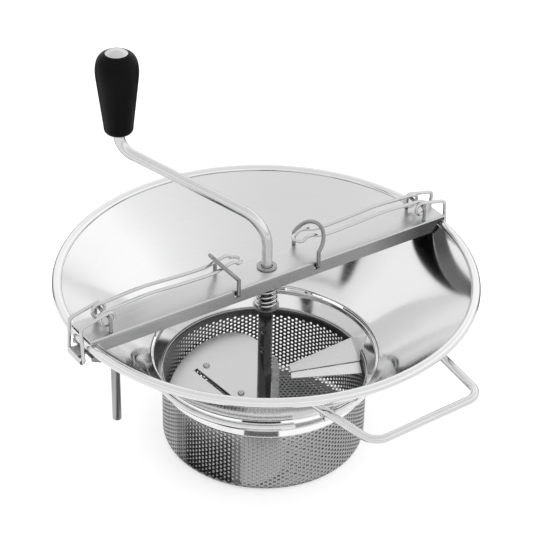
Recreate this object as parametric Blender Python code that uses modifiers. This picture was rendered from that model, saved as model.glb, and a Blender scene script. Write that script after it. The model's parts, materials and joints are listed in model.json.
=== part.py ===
# Hand cranked food mill: a conical steel bowl with a perforated sieve locked under its throat,
# a sprung crank and blade carried by a bridge, and two wire latches that clamp the bridge to the rim.
# Metres, +Z up. The origin is the centre of the sieve's flat bottom, and +X runs along the bridge.
import math

import bmesh
import bpy
from mathutils import Matrix, Vector

# Clearances
SEAT_GAP = 0.0003        # between two pieces that touch
PIVOT_GAP = 0.0004       # round a wire that turns in a hole
CUT_OVERRUN = 0.003      # how far a cutter runs past the face that it cuts

# Sieve
SIEVE_RADIUS = 0.077     # outside of the perforated wall
SIEVE_WALL = 0.001
SIEVE_HEIGHT = 0.0576    # flat bottom to the plain top edge
SIEVE_CORNER = 0.006
SIEVE_TOP_MARGIN = 0.008
HOLE_RADIUS = 0.0040     # the fine holes are drawn coarse here
WALL_HOLE_ROWS = 4
WALL_HOLES_A_ROW = 24
FLOOR_HOLE_PITCH = 0.0185
FLOOR_HOLE_RINGS = 5

# Sieve ring, with its three bayonet lugs
RING_WALL = 0.001
RING_SKIRT = 0.006       # how far its skirt laps the sieve's wall
RING_FLARE_HEIGHT = 0.0095
RING_LIP_HEIGHT = 0.0035
LUG_THICKNESS = 0.0015
LUG_REACH = 0.0042       # out from the ring's lip
LUG_ARC = 13.0           # degrees

# Bowl
SHEET = 0.001
THROAT_RADIUS = 0.085
NECK_HEIGHT = 0.0039     # throat to the top of the neck's rolled bead
NECK_BEAD_RADIUS = 0.0019
CONE_HEIGHT = 0.0670     # throat to the centre of the rim's bead
RIM_RADIUS = 0.1515      # centre circle of the rim's bead
RIM_BEAD_RADIUS = 0.0035
BEAD_SLIT = 55.0         # degrees left open where the sheet curls back on itself
SLOT_HEIGHT = 0.0030
TWIST = 20.0             # degrees from entry notch to lock
PLAY_ARC = 2.0           # degrees that a slot is longer than its lug

# What stands three to the round: the bayonet lugs, and two legs
FITTING_AZIMUTH = -82.0
FITTING_STEP = 120.0

# Handle and legs
HANDLE_WIRE = 0.0029     # radius
HANDLE_AZIMUTH = -88.2
HANDLE_OUT = 0.0329      # its outer bar, out from the rim's centre circle
HANDLE_HALF_WIDTH = 0.0455
HANDLE_SPLAY = 7.5       # degrees that each side opens towards the bowl
HANDLE_CORNER = 0.012
HANDLE_DROP = 0.012      # below the rim's centre
LEG_ROD = 0.0034
LEG_DISTANCE = 0.1124
LEG_FOOT_DROP = 0.116    # rim's centre to the foot
LEG_FOOT_ROUND = 0.0012

# Bridge
BRIDGE_OVERHANG = 0.0015  # past the rim's centre circle
BRIDGE_WIDTH = 0.0280
BRIDGE_DEPTH = 0.011     # flange height, outside
BRIDGE_SHEET = 0.0015
BRIDGE_BEND = 0.002
FLANGE_LAP = 0.0018      # what is left of the flange over the rim
FLANGE_SLOPE = 0.0075    # how much shorter the flange is at its lower edge

# Shaft, crank and grip
ROD = 0.0040
BUSH_WALL = 0.0015
BUSH_FLANGE = 0.0009
BUSH_SPIGOT = 0.0025     # below the bridge's sheet
SPRING_LENGTH = 0.0305
SPRING_WIRE = 0.0009
SPRING_RADIUS = 0.0076   # to the wire's centre
SPRING_TURNS = 7
SPRING_POINTS_A_TURN = 10
SEAT_THICKNESS = 0.0012
SEAT_OVERLAP = 0.0012    # the seat reaches past the spring
SLEEVE_WALL = 0.0011
SHAFT_LIFT = 0.003
CRANK_AZIMUTH = 124.0
CRANK_RISE = 0.0440      # rim's centre to the foot of the arm
CRANK_THROW = 0.1165
CRANK_ARM_RISE = 0.0345
CRANK_FOOT_BEND = 0.026
CRANK_GRIP_BEND = 0.015
GRIP_START = 0.0925      # rim's centre to the grip's lower face
GRIP_LENGTH = 0.0620
GRIP_RADIUS = 0.0157
GRIP_FOOT_RADIUS = 0.0105
CAP_RADIUS = 0.0082
CAP_HEIGHT = 0.0030

# Blade
BLADE_RADIUS = 0.0738    # seen from above
BLADE_SHEET = 0.0015
BLADE_SLOPE = 14.0       # degrees
BLADE_UPHILL = 65.0      # azimuth of its high side
BLADE_HUB_RADIUS = 0.0115
BLADE_CORNER = 0.0253    # seen from above, where the straight edge runs into the round one
BLADE_SETBACK = 0.009    # its straight edge lies this far behind the axis
BLADE_FLOOR_GAP = 0.0014
SLOT_WIDTH = 0.0036
SLOT_ENDS = ((0.518, 0.648), (0.031, 0.267))  # in blade radii, in its own plane
LEAF_SHEET = 0.001
LEAF_WIDTH = 0.014
LEAF_OVERHANG = 0.005    # past each end of the slot
RIVET_RADIUS = 0.0015
RIVET_HEAD_RADIUS = 0.0027
RIVET_HEAD_HEIGHT = 0.0009
RIVET_SHOULDER_SHARE = 0.75
RIVET_PLACE_SHARES = (0.07, 0.89)  # along the slot
GUSSET_SHEET = 0.0015
GUSSET_REACH = 0.0115    # from the shaft's axis
GUSSET_HEIGHT = 0.045
GUSSET_SHOULDER = 0.016
GUSSET_AZIMUTH = -34.0

# Baffle: a crease runs from its tip to the wall, with a rising face behind it and an apron before it
BAFFLE_SHEET = 0.0012
BAFFLE_WALL_GAP = 0.0010
BAFFLE_TIP_DISTANCE = 0.0205
BAFFLE_CREASE_HEIGHT = 0.0493
BAFFLE_TIP_RISE = 0.0032
BAFFLE_WALL_RISE = 0.0106
BAFFLE_APRON = 0.0043
BAFFLE_BACK_AZIMUTHS = (-8.0, -6.0)       # at the tip and at the wall
BAFFLE_CREASE_AZIMUTHS = (-22.0, -19.0)
BAFFLE_APRON_AZIMUTHS = (-28.5, -26.4)

# Clamps and keeper loops: places are for the +X end, and the other end is turned half round
CLAMP_WIRE = 0.0013      # radius
LEVER_HALF_GAUGE = 0.0049
LEVER_TIP_DISTANCE = 0.0235
LEVER_BOW = (            # distance from the axis, and height over the bridge
    (0.1180, 0.0153), (0.0990, 0.0161), (0.0750, 0.0147), (0.0530, 0.0140),
    (0.0440, 0.0150), (0.0370, 0.0170), (0.0320, 0.0176), (0.0290, 0.0160),
)
LEVER_TIP_HEIGHT = 0.0152
COIL_RADIUS = 0.0052     # to the wire's centre
COIL_INSET = 0.0160      # in from the rim's centre circle
COIL_CLEARANCE = 0.0023  # bridge to the coil
COIL_STEPS = 10
STAPLE_FOOT = 0.0015     # how far its feet reach under the sheet
BAIL_OUT = 0.0057        # out from the rim's centre circle
BAIL_CORNER_HEIGHT = 0.0090  # over the bridge
BAIL_CORNER = 0.0045
BAIL_FOOT_GAUGE = 0.0105  # its legs spread to this half gauge at the roller
BAIL_FOOT_CORNER = 0.0016
ROLLER_RADIUS = 0.0027
ROLLER_ROUND = 0.0005
LUG_DROP = 0.0064        # rim's centre to the lug's upper face
LUG_SHEET = 0.0016
LUG_TONGUE = 0.0110      # width of the tongue that the roller bears up on
LUG_TONGUE_OUT = 0.0077  # out from the rim's centre circle
LUG_SHOULDER_OUT = 0.0010  # how far the rest of it stands out
LUG_HALF_WIDTH = 0.0140
LUG_DEPTH = 0.0106
LUG_FOOT = 0.0045        # stand-off of its foot from the cone
LOOP_WIRE = 0.0015
LOOP_DISTANCE = 0.0345
LOOP_PIVOT_DROP = 0.0042  # below the bridge's top face
LOOP_LEG = 0.0137
LOOP_LEAN = 40.0
LOOP_FOOT = 0.0030       # how far its feet reach inside the flange

# How finely round shapes are faceted
ROUND_STEPS = 56
SMALL_STEPS = 20
ARC_STEPS = 6

# Distances and heights that follow from the sizes above
HANDLE_REACH = RIM_RADIUS + HANDLE_OUT
BRIDGE_HALF_LENGTH = RIM_RADIUS + BRIDGE_OVERHANG
COIL_DISTANCE = RIM_RADIUS - COIL_INSET
BAIL_DISTANCE = RIM_RADIUS + BAIL_OUT
LUG_TONGUE_REACH = RIM_RADIUS + LUG_TONGUE_OUT
LUG_REACH_OUT = RIM_RADIUS + LUG_SHOULDER_OUT
SIEVE_FLOOR = SIEVE_WALL
SKIRT_BOTTOM = SIEVE_HEIGHT - RING_SKIRT
FLARE_BOTTOM = SIEVE_HEIGHT + SEAT_GAP
LIP_BOTTOM = FLARE_BOTTOM + RING_FLARE_HEIGHT
LIP_TOP = LIP_BOTTOM + RING_LIP_HEIGHT
LUG_TOP = LIP_TOP
LUG_BOTTOM = LUG_TOP - LUG_THICKNESS
NECK_BEAD_TOP = LUG_BOTTOM - SEAT_GAP
THROAT_HEIGHT = NECK_BEAD_TOP + NECK_HEIGHT
RIM_HEIGHT = THROAT_HEIGHT + CONE_HEIGHT
BRIDGE_BOTTOM_OF_SHEET = RIM_HEIGHT + RIM_BEAD_RADIUS + SEAT_GAP + FLANGE_LAP
BRIDGE_TOP = BRIDGE_BOTTOM_OF_SHEET + BRIDGE_SHEET
BUSH_BOTTOM = BRIDGE_BOTTOM_OF_SHEET - BUSH_SPIGOT
SPRING_TOP = BRIDGE_BOTTOM_OF_SHEET - SEAT_GAP
SEAT_TOP = SPRING_TOP - SPRING_LENGTH - SEAT_GAP
SEAT_BOTTOM = SEAT_TOP - SEAT_THICKNESS
SLEEVE_TOP = SEAT_BOTTOM - SEAT_GAP
SLEEVE_INNER = ROD + SEAT_GAP
SLEEVE_OUTER = SLEEVE_INNER + SLEEVE_WALL
SLEEVE_BOTTOM = SIEVE_FLOOR + BLADE_FLOOR_GAP
NECK_INNER = THROAT_RADIUS - SHEET / 2
CONE_TOP_RADIUS = RIM_RADIUS - RIM_BEAD_RADIUS + SHEET / 2
LIP_OUTER = NECK_INNER - 2 * SEAT_GAP
FLARE_INNER_RADIUS = SIEVE_RADIUS + SEAT_GAP
COIL_HEIGHT = BRIDGE_TOP + COIL_CLEARANCE + COIL_RADIUS + CLAMP_WIRE
BAIL_HALF_GAUGE = LEVER_HALF_GAUGE + 2 * CLAMP_WIRE + SEAT_GAP
STAPLE_HALF_GAUGE = BAIL_HALF_GAUGE + 2 * CLAMP_WIRE + SEAT_GAP
STAPLE_HEIGHT = COIL_HEIGHT + COIL_RADIUS - 2 * CLAMP_WIRE - SEAT_GAP
ROLLER_HEIGHT = RIM_HEIGHT - LUG_DROP - LUG_SHEET - SEAT_GAP - ROLLER_RADIUS
LOOP_PIVOT_HEIGHT = BRIDGE_TOP - LOOP_PIVOT_DROP
LOOP_HALF_GAUGE = BRIDGE_WIDTH / 2 + SEAT_GAP + LOOP_WIRE

ROOT = Vector((0.0, 0.0, 0.0))


def clear_scene():
    for thing in list(bpy.data.objects):
        bpy.data.objects.remove(thing, do_unlink=True)


def new_collection(name):
    group = bpy.data.collections.new(name)
    bpy.context.scene.collection.children.link(group)
    return group


def make_material(name, colour, metallic, roughness):
    finish = bpy.data.materials.new(name)
    finish.use_nodes = True
    shader = finish.node_tree.nodes["Principled BSDF"]
    shader.inputs["Base Color"].default_value = (*colour, 1.0)
    shader.inputs["Metallic"].default_value = metallic
    shader.inputs["Roughness"].default_value = roughness
    finish.diffuse_color = (*colour, 1.0)
    return finish


def add_piece(name, data, finish, place=ROOT, turn=0.0):
    piece = bpy.data.objects.new(name, data)
    piece.location = place
    piece.rotation_euler = (0.0, 0.0, turn)
    piece.data.materials.append(finish)
    parts.objects.link(piece)
    return piece


def polar(radius, azimuth, height=0.0):
    bearing = math.radians(azimuth)
    return Vector((radius * math.cos(bearing), radius * math.sin(bearing), height))


def arc(centre, radius, start, end, steps):
    """Points of an arc in the plane of a profile, both ends included, angles in degrees."""
    points = []
    for i in range(steps + 1):
        angle = math.radians(start + (end - start) * i / steps)
        points.append((centre[0] + radius * math.cos(angle), centre[1] + radius * math.sin(angle)))
    return points


def rounded_path(corners, radii, steps=ARC_STEPS):
    """A path through the corners, each one rounded to its radius by an arc."""
    path = [Vector(corners[0])]
    for i in range(1, len(corners) - 1):
        before = (Vector(corners[i - 1]) - Vector(corners[i])).normalized()
        after = (Vector(corners[i + 1]) - Vector(corners[i])).normalized()
        opening = before.angle(after)
        reach = radii[i - 1] / math.tan(opening / 2)
        bisector = (before + after).normalized()
        centre = Vector(corners[i]) + bisector * (radii[i - 1] / math.sin(opening / 2))
        first = Vector(corners[i]) + before * reach - centre
        axis = before.cross(after).normalized()
        swing = -(math.pi - opening)
        for k in range(steps + 1):
            path.append(centre + Matrix.Rotation(swing * k / steps, 3, axis) @ first)
    path.append(Vector(corners[-1]))
    return path


def turned(name, profile, finish, steps=ROUND_STEPS, closed=True, place=ROOT):
    """A profile of (radius, height) points, turned about the upright axis."""
    mesh = bpy.data.meshes.new(name)
    points = [(radius, 0.0, height) for radius, height in profile]
    edges = [(i, i + 1) for i in range(len(points) - 1)]
    if closed:
        edges.append((len(points) - 1, 0))
    mesh.from_pydata(points, edges, [])
    piece = add_piece(name, mesh, finish, place)
    screw = piece.modifiers.new("Turn", "SCREW")
    screw.axis = "Z"
    screw.steps = steps
    screw.render_steps = steps
    screw.use_merge_vertices = True
    screw.merge_threshold = SEAT_GAP / 10
    screw.use_smooth_shade = True
    return piece


def wire(name, path, radius, finish, origin=ROOT, turn=0.0, sides=2, cyclic=False):
    """A round wire along a path that is given in the whole model's frame."""
    curve = bpy.data.curves.new(name, "CURVE")
    curve.dimensions = "3D"
    curve.bevel_depth = radius
    curve.bevel_resolution = sides
    curve.use_fill_caps = True
    spline = curve.splines.new("POLY")
    spline.points.add(len(path) - 1)
    for point, place in zip(spline.points, path):
        point.co = (*(Vector(place) - origin), 1.0)
    spline.use_cyclic_u = cyclic
    place = Matrix.Rotation(turn, 4, "Z") @ origin
    return add_piece(name, curve, finish, place, turn)


def plate(name, outlines, thickness, finish):
    """A flat plate in its own XY plane, centred on it, from one outline and any holes."""
    curve = bpy.data.curves.new(name, "CURVE")
    curve.dimensions = "2D"
    curve.fill_mode = "BOTH"
    curve.extrude = thickness / 2
    for outline in outlines:
        spline = curve.splines.new("POLY")
        spline.points.add(len(outline) - 1)
        for point, place in zip(spline.points, outline):
            point.co = (place[0], place[1], 0.0, 1.0)
        spline.use_cyclic_u = True
    return add_piece(name, curve, finish)


def to_mesh(piece):
    """Turns a curve into a mesh object of the same name, with its caps welded on."""
    bpy.context.view_layer.update()
    evaluated = piece.evaluated_get(bpy.context.evaluated_depsgraph_get())
    mesh = bpy.data.meshes.new_from_object(evaluated)
    name = piece.name
    matrix = piece.matrix_world.copy()
    shell = bmesh.new()
    shell.from_mesh(mesh)
    bmesh.ops.remove_doubles(shell, verts=shell.verts, dist=SEAT_GAP / 10)
    shell.to_mesh(mesh)
    shell.free()
    bpy.data.objects.remove(piece, do_unlink=True)
    solid = bpy.data.objects.new(name, mesh)
    solid.matrix_world = matrix
    parts.objects.link(solid)
    solid.name = name
    return solid


def solidify(piece, thickness, offset=0.0):
    shell = piece.modifiers.new("Sheet", "SOLIDIFY")
    shell.thickness = thickness
    shell.offset = offset
    shell.use_even_offset = True
    return shell


def bevel(piece, width, segments=2, angle=30.0):
    rounding = piece.modifiers.new("Edges", "BEVEL")
    rounding.width = width
    rounding.segments = segments
    rounding.limit_method = "ANGLE"
    rounding.angle_limit = math.radians(angle)
    return rounding


def boolean(piece, other, operation="DIFFERENCE"):
    cut = piece.modifiers.new("Cut", "BOOLEAN")
    cut.object = other
    cut.operation = operation
    cut.solver = "EXACT"
    return cut


def cutter(name, shell):
    """A guide solid from a bmesh, kept in the cutters' own collection."""
    mesh = bpy.data.meshes.new(name)
    shell.to_mesh(mesh)
    shell.free()
    guide = bpy.data.objects.new(name, mesh)
    guide.hide_render = True
    guide.display_type = "WIRE"
    cutters.objects.link(guide)
    return guide


def box(shell, low, high, matrix=Matrix.Identity(4)):
    """Adds a box to a bmesh, from its low corner to its high corner."""
    size = Vector(high) - Vector(low)
    middle = (Vector(high) + Vector(low)) / 2
    scale = Matrix.Diagonal((*size, 1.0))
    bmesh.ops.create_cube(shell, size=1.0, matrix=matrix @ Matrix.Translation(middle) @ scale)


def rod(shell, radius, start, end, segments, radius_end=None):
    """Adds a round or tapered rod to a bmesh, between two points."""
    start = Vector(start)
    end = Vector(end)
    length = (end - start).length
    aim = (end - start).to_track_quat("Z", "Y").to_matrix().to_4x4()
    matrix = Matrix.Translation((start + end) / 2) @ aim
    top = radius if radius_end is None else radius_end
    bmesh.ops.create_cone(shell, cap_ends=True, segments=segments, radius1=radius, radius2=top,
                          depth=length, matrix=matrix)


def wedge(shell, inner, outer, low, high, azimuth, width):
    """Adds an upright sector block to a bmesh: radii, heights, middle azimuth and width in degrees."""
    steps = max(2, math.ceil(width / 6.0))
    bottom = []
    for radius, backwards in ((inner, False), (outer, True)):
        ring = [polar(radius, azimuth + width * (k / steps - 0.5), low) for k in range(steps + 1)]
        bottom += reversed(ring) if backwards else ring
    face = shell.faces.new([shell.verts.new(point) for point in bottom])
    grown = bmesh.ops.extrude_face_region(shell, geom=[face])
    moved = [item for item in grown["geom"] if isinstance(item, bmesh.types.BMVert)]
    bmesh.ops.translate(shell, verts=moved, vec=(0.0, 0.0, high - low))
    bmesh.ops.recalc_face_normals(shell, faces=shell.faces)


def cone_height(radius):
    """Height of the middle of the bowl's sheet at a radius."""
    foot = THROAT_RADIUS
    return THROAT_HEIGHT + CONE_HEIGHT * (radius - foot) / (CONE_TOP_RADIUS - foot)


def make_bowl():
    """One sheet: a curl round the rim's wire, the cone, the neck, and a small curl at its foot."""
    curl = RIM_BEAD_RADIUS - SHEET / 2
    rim = arc((RIM_RADIUS, RIM_HEIGHT), curl, -180.0 - 360.0 + BEAD_SLIT, -180.0, 7)
    foot = NECK_BEAD_RADIUS - SHEET / 2
    centre = (THROAT_RADIUS + foot, NECK_BEAD_TOP - NECK_BEAD_RADIUS)
    bead = arc(centre, foot, 180.0, 180.0 + 270.0, 5)
    profile = rim + [(THROAT_RADIUS, THROAT_HEIGHT)] + bead
    bowl = turned("bowl", profile, steel, closed=False)
    solidify(bowl, SHEET)
    slots = bmesh.new()
    inner = THROAT_RADIUS - CUT_OVERRUN
    outer = THROAT_RADIUS + 2 * NECK_BEAD_RADIUS + CUT_OVERRUN
    for k in range(3):
        lock = FITTING_AZIMUTH + FITTING_STEP * k
        wide = LUG_ARC + TWIST + PLAY_ARC
        wedge(slots, inner, outer, NECK_BEAD_TOP, NECK_BEAD_TOP + SLOT_HEIGHT, lock - TWIST / 2, wide)
    boolean(bowl, cutter("bayonet_slots", slots))
    notches = bmesh.new()
    low = NECK_BEAD_TOP - 2 * NECK_BEAD_RADIUS - CUT_OVERRUN
    for k in range(3):
        entry = FITTING_AZIMUTH + FITTING_STEP * k - TWIST
        wedge(notches, inner, outer, low, NECK_BEAD_TOP + SLOT_HEIGHT / 2, entry, LUG_ARC + PLAY_ARC)
    boolean(bowl, cutter("bayonet_entries", notches))
    return bowl


def make_rim_wire():
    core = RIM_BEAD_RADIUS - SHEET - SEAT_GAP
    profile = arc((RIM_RADIUS, RIM_HEIGHT), core, 90.0, -210.0, 5)
    return turned("rim_wire", profile, dark_steel)


def bowl_clearance():
    """A solid that fills the bowl and its seat gap, to trim what is welded under the cone."""
    profile = []
    reach = SHEET / 2 + SEAT_GAP
    run = CONE_TOP_RADIUS - THROAT_RADIUS
    slant = math.hypot(run, CONE_HEIGHT)
    out = reach * slant / CONE_HEIGHT
    profile.append((0.0, RIM_HEIGHT))
    profile.append((CONE_TOP_RADIUS + out, RIM_HEIGHT))
    profile.append((THROAT_RADIUS + out, THROAT_HEIGHT))
    profile.append((0.0, THROAT_HEIGHT))
    mesh = bpy.data.meshes.new("bowl_clearance")
    points = [(radius, 0.0, height) for radius, height in profile]
    mesh.from_pydata(points, [(i, i + 1) for i in range(len(points) - 1)], [])
    guide = bpy.data.objects.new("bowl_clearance", mesh)
    guide.hide_render = True
    guide.display_type = "WIRE"
    cutters.objects.link(guide)
    screw = guide.modifiers.new("Turn", "SCREW")
    screw.axis = "Z"
    screw.steps = 2 * ROUND_STEPS
    screw.render_steps = 2 * ROUND_STEPS
    screw.use_merge_vertices = True
    screw.merge_threshold = SEAT_GAP / 10
    return guide


def make_sieve_basket():
    """A drawn cup with staggered holes in its wall and its flat bottom."""
    corner = SIEVE_CORNER
    inner = SIEVE_RADIUS - SIEVE_WALL
    profile = [(SIEVE_RADIUS, SIEVE_HEIGHT)]
    profile += arc((SIEVE_RADIUS - corner, corner), corner, 0.0, -90.0, 3)
    profile += [(0.0, 0.0), (0.0, SIEVE_FLOOR)]
    profile += arc((SIEVE_RADIUS - corner, corner), corner - SIEVE_WALL, -90.0, 0.0, 3)
    profile += [(inner, SIEVE_HEIGHT)]
    basket = turned("sieve_basket", profile, steel)
    holes = bmesh.new()
    lowest = corner + HOLE_RADIUS + SIEVE_WALL
    highest = SIEVE_HEIGHT - SIEVE_TOP_MARGIN - HOLE_RADIUS
    step = 360.0 / WALL_HOLES_A_ROW
    reach = SIEVE_WALL + CUT_OVERRUN
    for row in range(WALL_HOLE_ROWS):
        height = lowest + (highest - lowest) * row / (WALL_HOLE_ROWS - 1)
        for k in range(WALL_HOLES_A_ROW):
            azimuth = step * (k + 0.5 * (row % 2))
            inside = polar(SIEVE_RADIUS - reach, azimuth, height)
            outside = polar(SIEVE_RADIUS + reach, azimuth, height)
            rod(holes, HOLE_RADIUS, inside, outside, 6)
    limit = SIEVE_RADIUS - corner - HOLE_RADIUS - SIEVE_WALL
    for a in range(-FLOOR_HOLE_RINGS, FLOOR_HOLE_RINGS + 1):
        for b in range(-FLOOR_HOLE_RINGS, FLOOR_HOLE_RINGS + 1):
            x = FLOOR_HOLE_PITCH * (a + b / 2 - 0.5)
            y = FLOOR_HOLE_PITCH * (b / 2 - 1 / 6) * math.sqrt(3)
            if math.hypot(x, y) < limit:
                rod(holes, HOLE_RADIUS, (x, y, -CUT_OVERRUN), (x, y, SIEVE_FLOOR + CUT_OVERRUN), 6)
    boolean(basket, cutter("sieve_holes", holes))
    return basket


def make_sieve_ring():
    """The solid band that carries the sieve up into the bowl's neck."""
    wall = RING_WALL
    profile = [
        (LIP_OUTER - wall, LIP_TOP),
        (LIP_OUTER, LIP_TOP),
        (LIP_OUTER, LIP_BOTTOM),
        (FLARE_INNER_RADIUS + wall, FLARE_BOTTOM),
        (FLARE_INNER_RADIUS + wall, SKIRT_BOTTOM),
        (FLARE_INNER_RADIUS, SKIRT_BOTTOM),
        (FLARE_INNER_RADIUS, FLARE_BOTTOM),
        (LIP_OUTER - wall, LIP_BOTTOM + wall / 4),
    ]
    ring = turned("sieve_ring", profile, steel)
    lugs = bmesh.new()
    for k in range(3):
        azimuth = FITTING_AZIMUTH + FITTING_STEP * k
        wedge(lugs, LIP_OUTER - wall / 2, LIP_OUTER + LUG_REACH, LUG_BOTTOM, LUG_TOP, azimuth, LUG_ARC)
    boolean(ring, cutter("bayonet_lugs", lugs), "UNION")
    return ring


def make_baffle():
    """A folded plate across the sieve, from a narrow tip beside the shaft out to the wall."""
    tip = BAFFLE_TIP_DISTANCE
    wall = SIEVE_RADIUS - SIEVE_WALL - BAFFLE_WALL_GAP
    crease = BAFFLE_CREASE_HEIGHT
    apron = crease - BAFFLE_APRON
    points = [
        polar(tip, BAFFLE_BACK_AZIMUTHS[0], crease + BAFFLE_TIP_RISE),
        polar(wall, BAFFLE_BACK_AZIMUTHS[1], crease + BAFFLE_WALL_RISE),
        polar(tip, BAFFLE_CREASE_AZIMUTHS[0], crease),
        polar(wall, BAFFLE_CREASE_AZIMUTHS[1], crease),
        polar(tip, BAFFLE_APRON_AZIMUTHS[0], apron),
        polar(wall, BAFFLE_APRON_AZIMUTHS[1], apron),
    ]
    mesh = bpy.data.meshes.new("baffle_plate")
    mesh.from_pydata(points, [], [(0, 2, 3, 1), (2, 4, 5, 3)])
    baffle = add_piece("baffle_plate", mesh, steel)
    solidify(baffle, BAFFLE_SHEET)
    return baffle


def make_bridge():
    """A folded channel: its flanges stop short of the rim and a narrow lap rests on it."""
    half = BRIDGE_WIDTH / 2
    low = BRIDGE_TOP - BRIDGE_DEPTH
    lap = BRIDGE_BOTTOM_OF_SHEET - FLANGE_LAP
    stop = math.sqrt((RIM_RADIUS - RIM_BEAD_RADIUS - SEAT_GAP) ** 2 - half ** 2)
    section = bmesh.new()
    box(section, (-BRIDGE_HALF_LENGTH, -half, low), (BRIDGE_HALF_LENGTH, half, BRIDGE_TOP))
    mesh = bpy.data.meshes.new("bridge")
    section.to_mesh(mesh)
    section.free()
    bridge = add_piece("bridge", mesh, satin_steel)
    round_over = bevel(bridge, BRIDGE_BEND, 3)
    round_over.limit_method = "WEIGHT"
    weigh_long_top_edges(mesh)
    trough = bmesh.new()
    inner = half - BRIDGE_SHEET
    far = BRIDGE_HALF_LENGTH + CUT_OVERRUN
    box(trough, (-far, -inner, low - CUT_OVERRUN), (far, inner, BRIDGE_BOTTOM_OF_SHEET))
    boolean(bridge, cutter("bridge_trough", trough))
    ends = bmesh.new()
    for side in (1, -1):
        corners = [(stop, lap), (far, lap), (far, low - CUT_OVERRUN), (stop - FLANGE_SLOPE, low - CUT_OVERRUN)]
        outline = [ends.verts.new((side * x, -half - CUT_OVERRUN, z)) for x, z in corners]
        face = ends.faces.new(outline)
        grown = bmesh.ops.extrude_face_region(ends, geom=[face])
        moved = [item for item in grown["geom"] if isinstance(item, bmesh.types.BMVert)]
        bmesh.ops.translate(ends, verts=moved, vec=(0.0, 2 * half + 2 * CUT_OVERRUN, 0.0))
    bmesh.ops.recalc_face_normals(ends, faces=ends.faces)
    boolean(bridge, cutter("bridge_ends", ends))
    bores = bmesh.new()
    bush = ROD + PIVOT_GAP + BUSH_WALL + SEAT_GAP
    rod(bores, bush, (0, 0, low), (0, 0, BRIDGE_TOP + CUT_OVERRUN), SMALL_STEPS)
    for side in (1, -1):
        x = side * LOOP_DISTANCE
        rod(bores, LOOP_WIRE + PIVOT_GAP, (x, -half - CUT_OVERRUN, LOOP_PIVOT_HEIGHT),
            (x, half + CUT_OVERRUN, LOOP_PIVOT_HEIGHT), 12)
        for flank in (1, -1):
            foot = Vector((side * COIL_DISTANCE, flank * STAPLE_HALF_GAUGE, 0.0))
            rod(bores, CLAMP_WIRE + SEAT_GAP, foot + Vector((0, 0, low)),
                foot + Vector((0, 0, BRIDGE_TOP + CUT_OVERRUN)), 12)
    boolean(bridge, cutter("bridge_bores", bores))
    return bridge


def weigh_long_top_edges(mesh):
    """Marks the two long upper edges, which are the ones that the fold rounds."""
    weights = mesh.attributes.new("bevel_weight_edge", "FLOAT", "EDGE")
    for edge in mesh.edges:
        ends = [mesh.vertices[i].co for i in edge.vertices]
        top = min(end.z for end in ends) > BRIDGE_TOP - SEAT_GAP
        lengthwise = abs(ends[0].y - ends[1].y) < SEAT_GAP
        weights.data[edge.index].value = 1.0 if top and lengthwise else 0.0


def make_bush():
    inner = ROD + PIVOT_GAP
    outer = inner + BUSH_WALL
    flange = BRIDGE_TOP + SEAT_GAP
    profile = [
        (inner, flange + BUSH_FLANGE),
        (outer + BUSH_WALL, flange + BUSH_FLANGE),
        (outer + BUSH_WALL, flange),
        (outer, flange),
        (outer, BUSH_BOTTOM),
        (inner, BUSH_BOTTOM),
    ]
    return turned("shaft_bush", profile, dark_steel, SMALL_STEPS)


def make_spring():
    """An open coil between the bridge and its seat, one unbroken tube."""
    top = SPRING_TOP - SPRING_WIRE
    bottom = SEAT_TOP + SEAT_GAP + SPRING_WIRE
    count = SPRING_TURNS * SPRING_POINTS_A_TURN
    lead = Vector((0.0, -2 * SPRING_WIRE, 0.0))
    path = []
    for i in range(count + 1):
        angle = 2 * math.pi * i / SPRING_POINTS_A_TURN
        height = bottom + (top - bottom) * i / count
        path.append(Vector((SPRING_RADIUS * math.cos(angle), SPRING_RADIUS * math.sin(angle), height)))
    path.insert(0, path[0] + lead)
    path.append(path[-1] - lead)
    print("spring: least gap to itself %.2f mm" % (1000 * least_gap(path, SPRING_WIRE)))
    return wire("pressure_spring", path, SPRING_WIRE, steel, sides=1)


def least_gap(path, radius):
    """Least clear distance between points of a coil that lie more than half a turn apart."""
    apart = SPRING_POINTS_A_TURN // 2 + 1
    least = math.inf
    for i, here in enumerate(path):
        for there in path[i + apart:]:
            least = min(least, (here - there).length - 2 * radius)
    return least


def make_spring_seat():
    inner = ROD + SEAT_GAP
    outer = SPRING_RADIUS + SPRING_WIRE + SEAT_OVERLAP
    profile = [(inner, SEAT_TOP), (outer, SEAT_TOP), (outer, SEAT_BOTTOM), (inner, SEAT_BOTTOM)]
    return turned("spring_seat", profile, dark_steel, SMALL_STEPS)


def make_sleeve():
    profile = [
        (SLEEVE_INNER, SLEEVE_TOP),
        (SLEEVE_OUTER, SLEEVE_TOP),
        (SLEEVE_OUTER, SLEEVE_BOTTOM),
        (SLEEVE_INNER, SLEEVE_BOTTOM),
    ]
    return turned("shaft_sleeve", profile, steel, SMALL_STEPS)


def crank_path():
    throw = polar(CRANK_THROW, CRANK_AZIMUTH)
    foot = Vector((0.0, 0.0, SLEEVE_BOTTOM + SLEEVE_WALL))
    elbow = Vector((0.0, 0.0, RIM_HEIGHT + CRANK_RISE))
    wrist = throw + Vector((0.0, 0.0, RIM_HEIGHT + CRANK_RISE + CRANK_ARM_RISE))
    end = throw + Vector((0.0, 0.0, RIM_HEIGHT + GRIP_START + GRIP_LENGTH - SEAT_GAP))
    return rounded_path([foot, elbow, wrist, end], [CRANK_FOOT_BEND, CRANK_GRIP_BEND], 8)


def make_crank():
    return wire("crank_rod", crank_path(), ROD, steel, sides=3)


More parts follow.
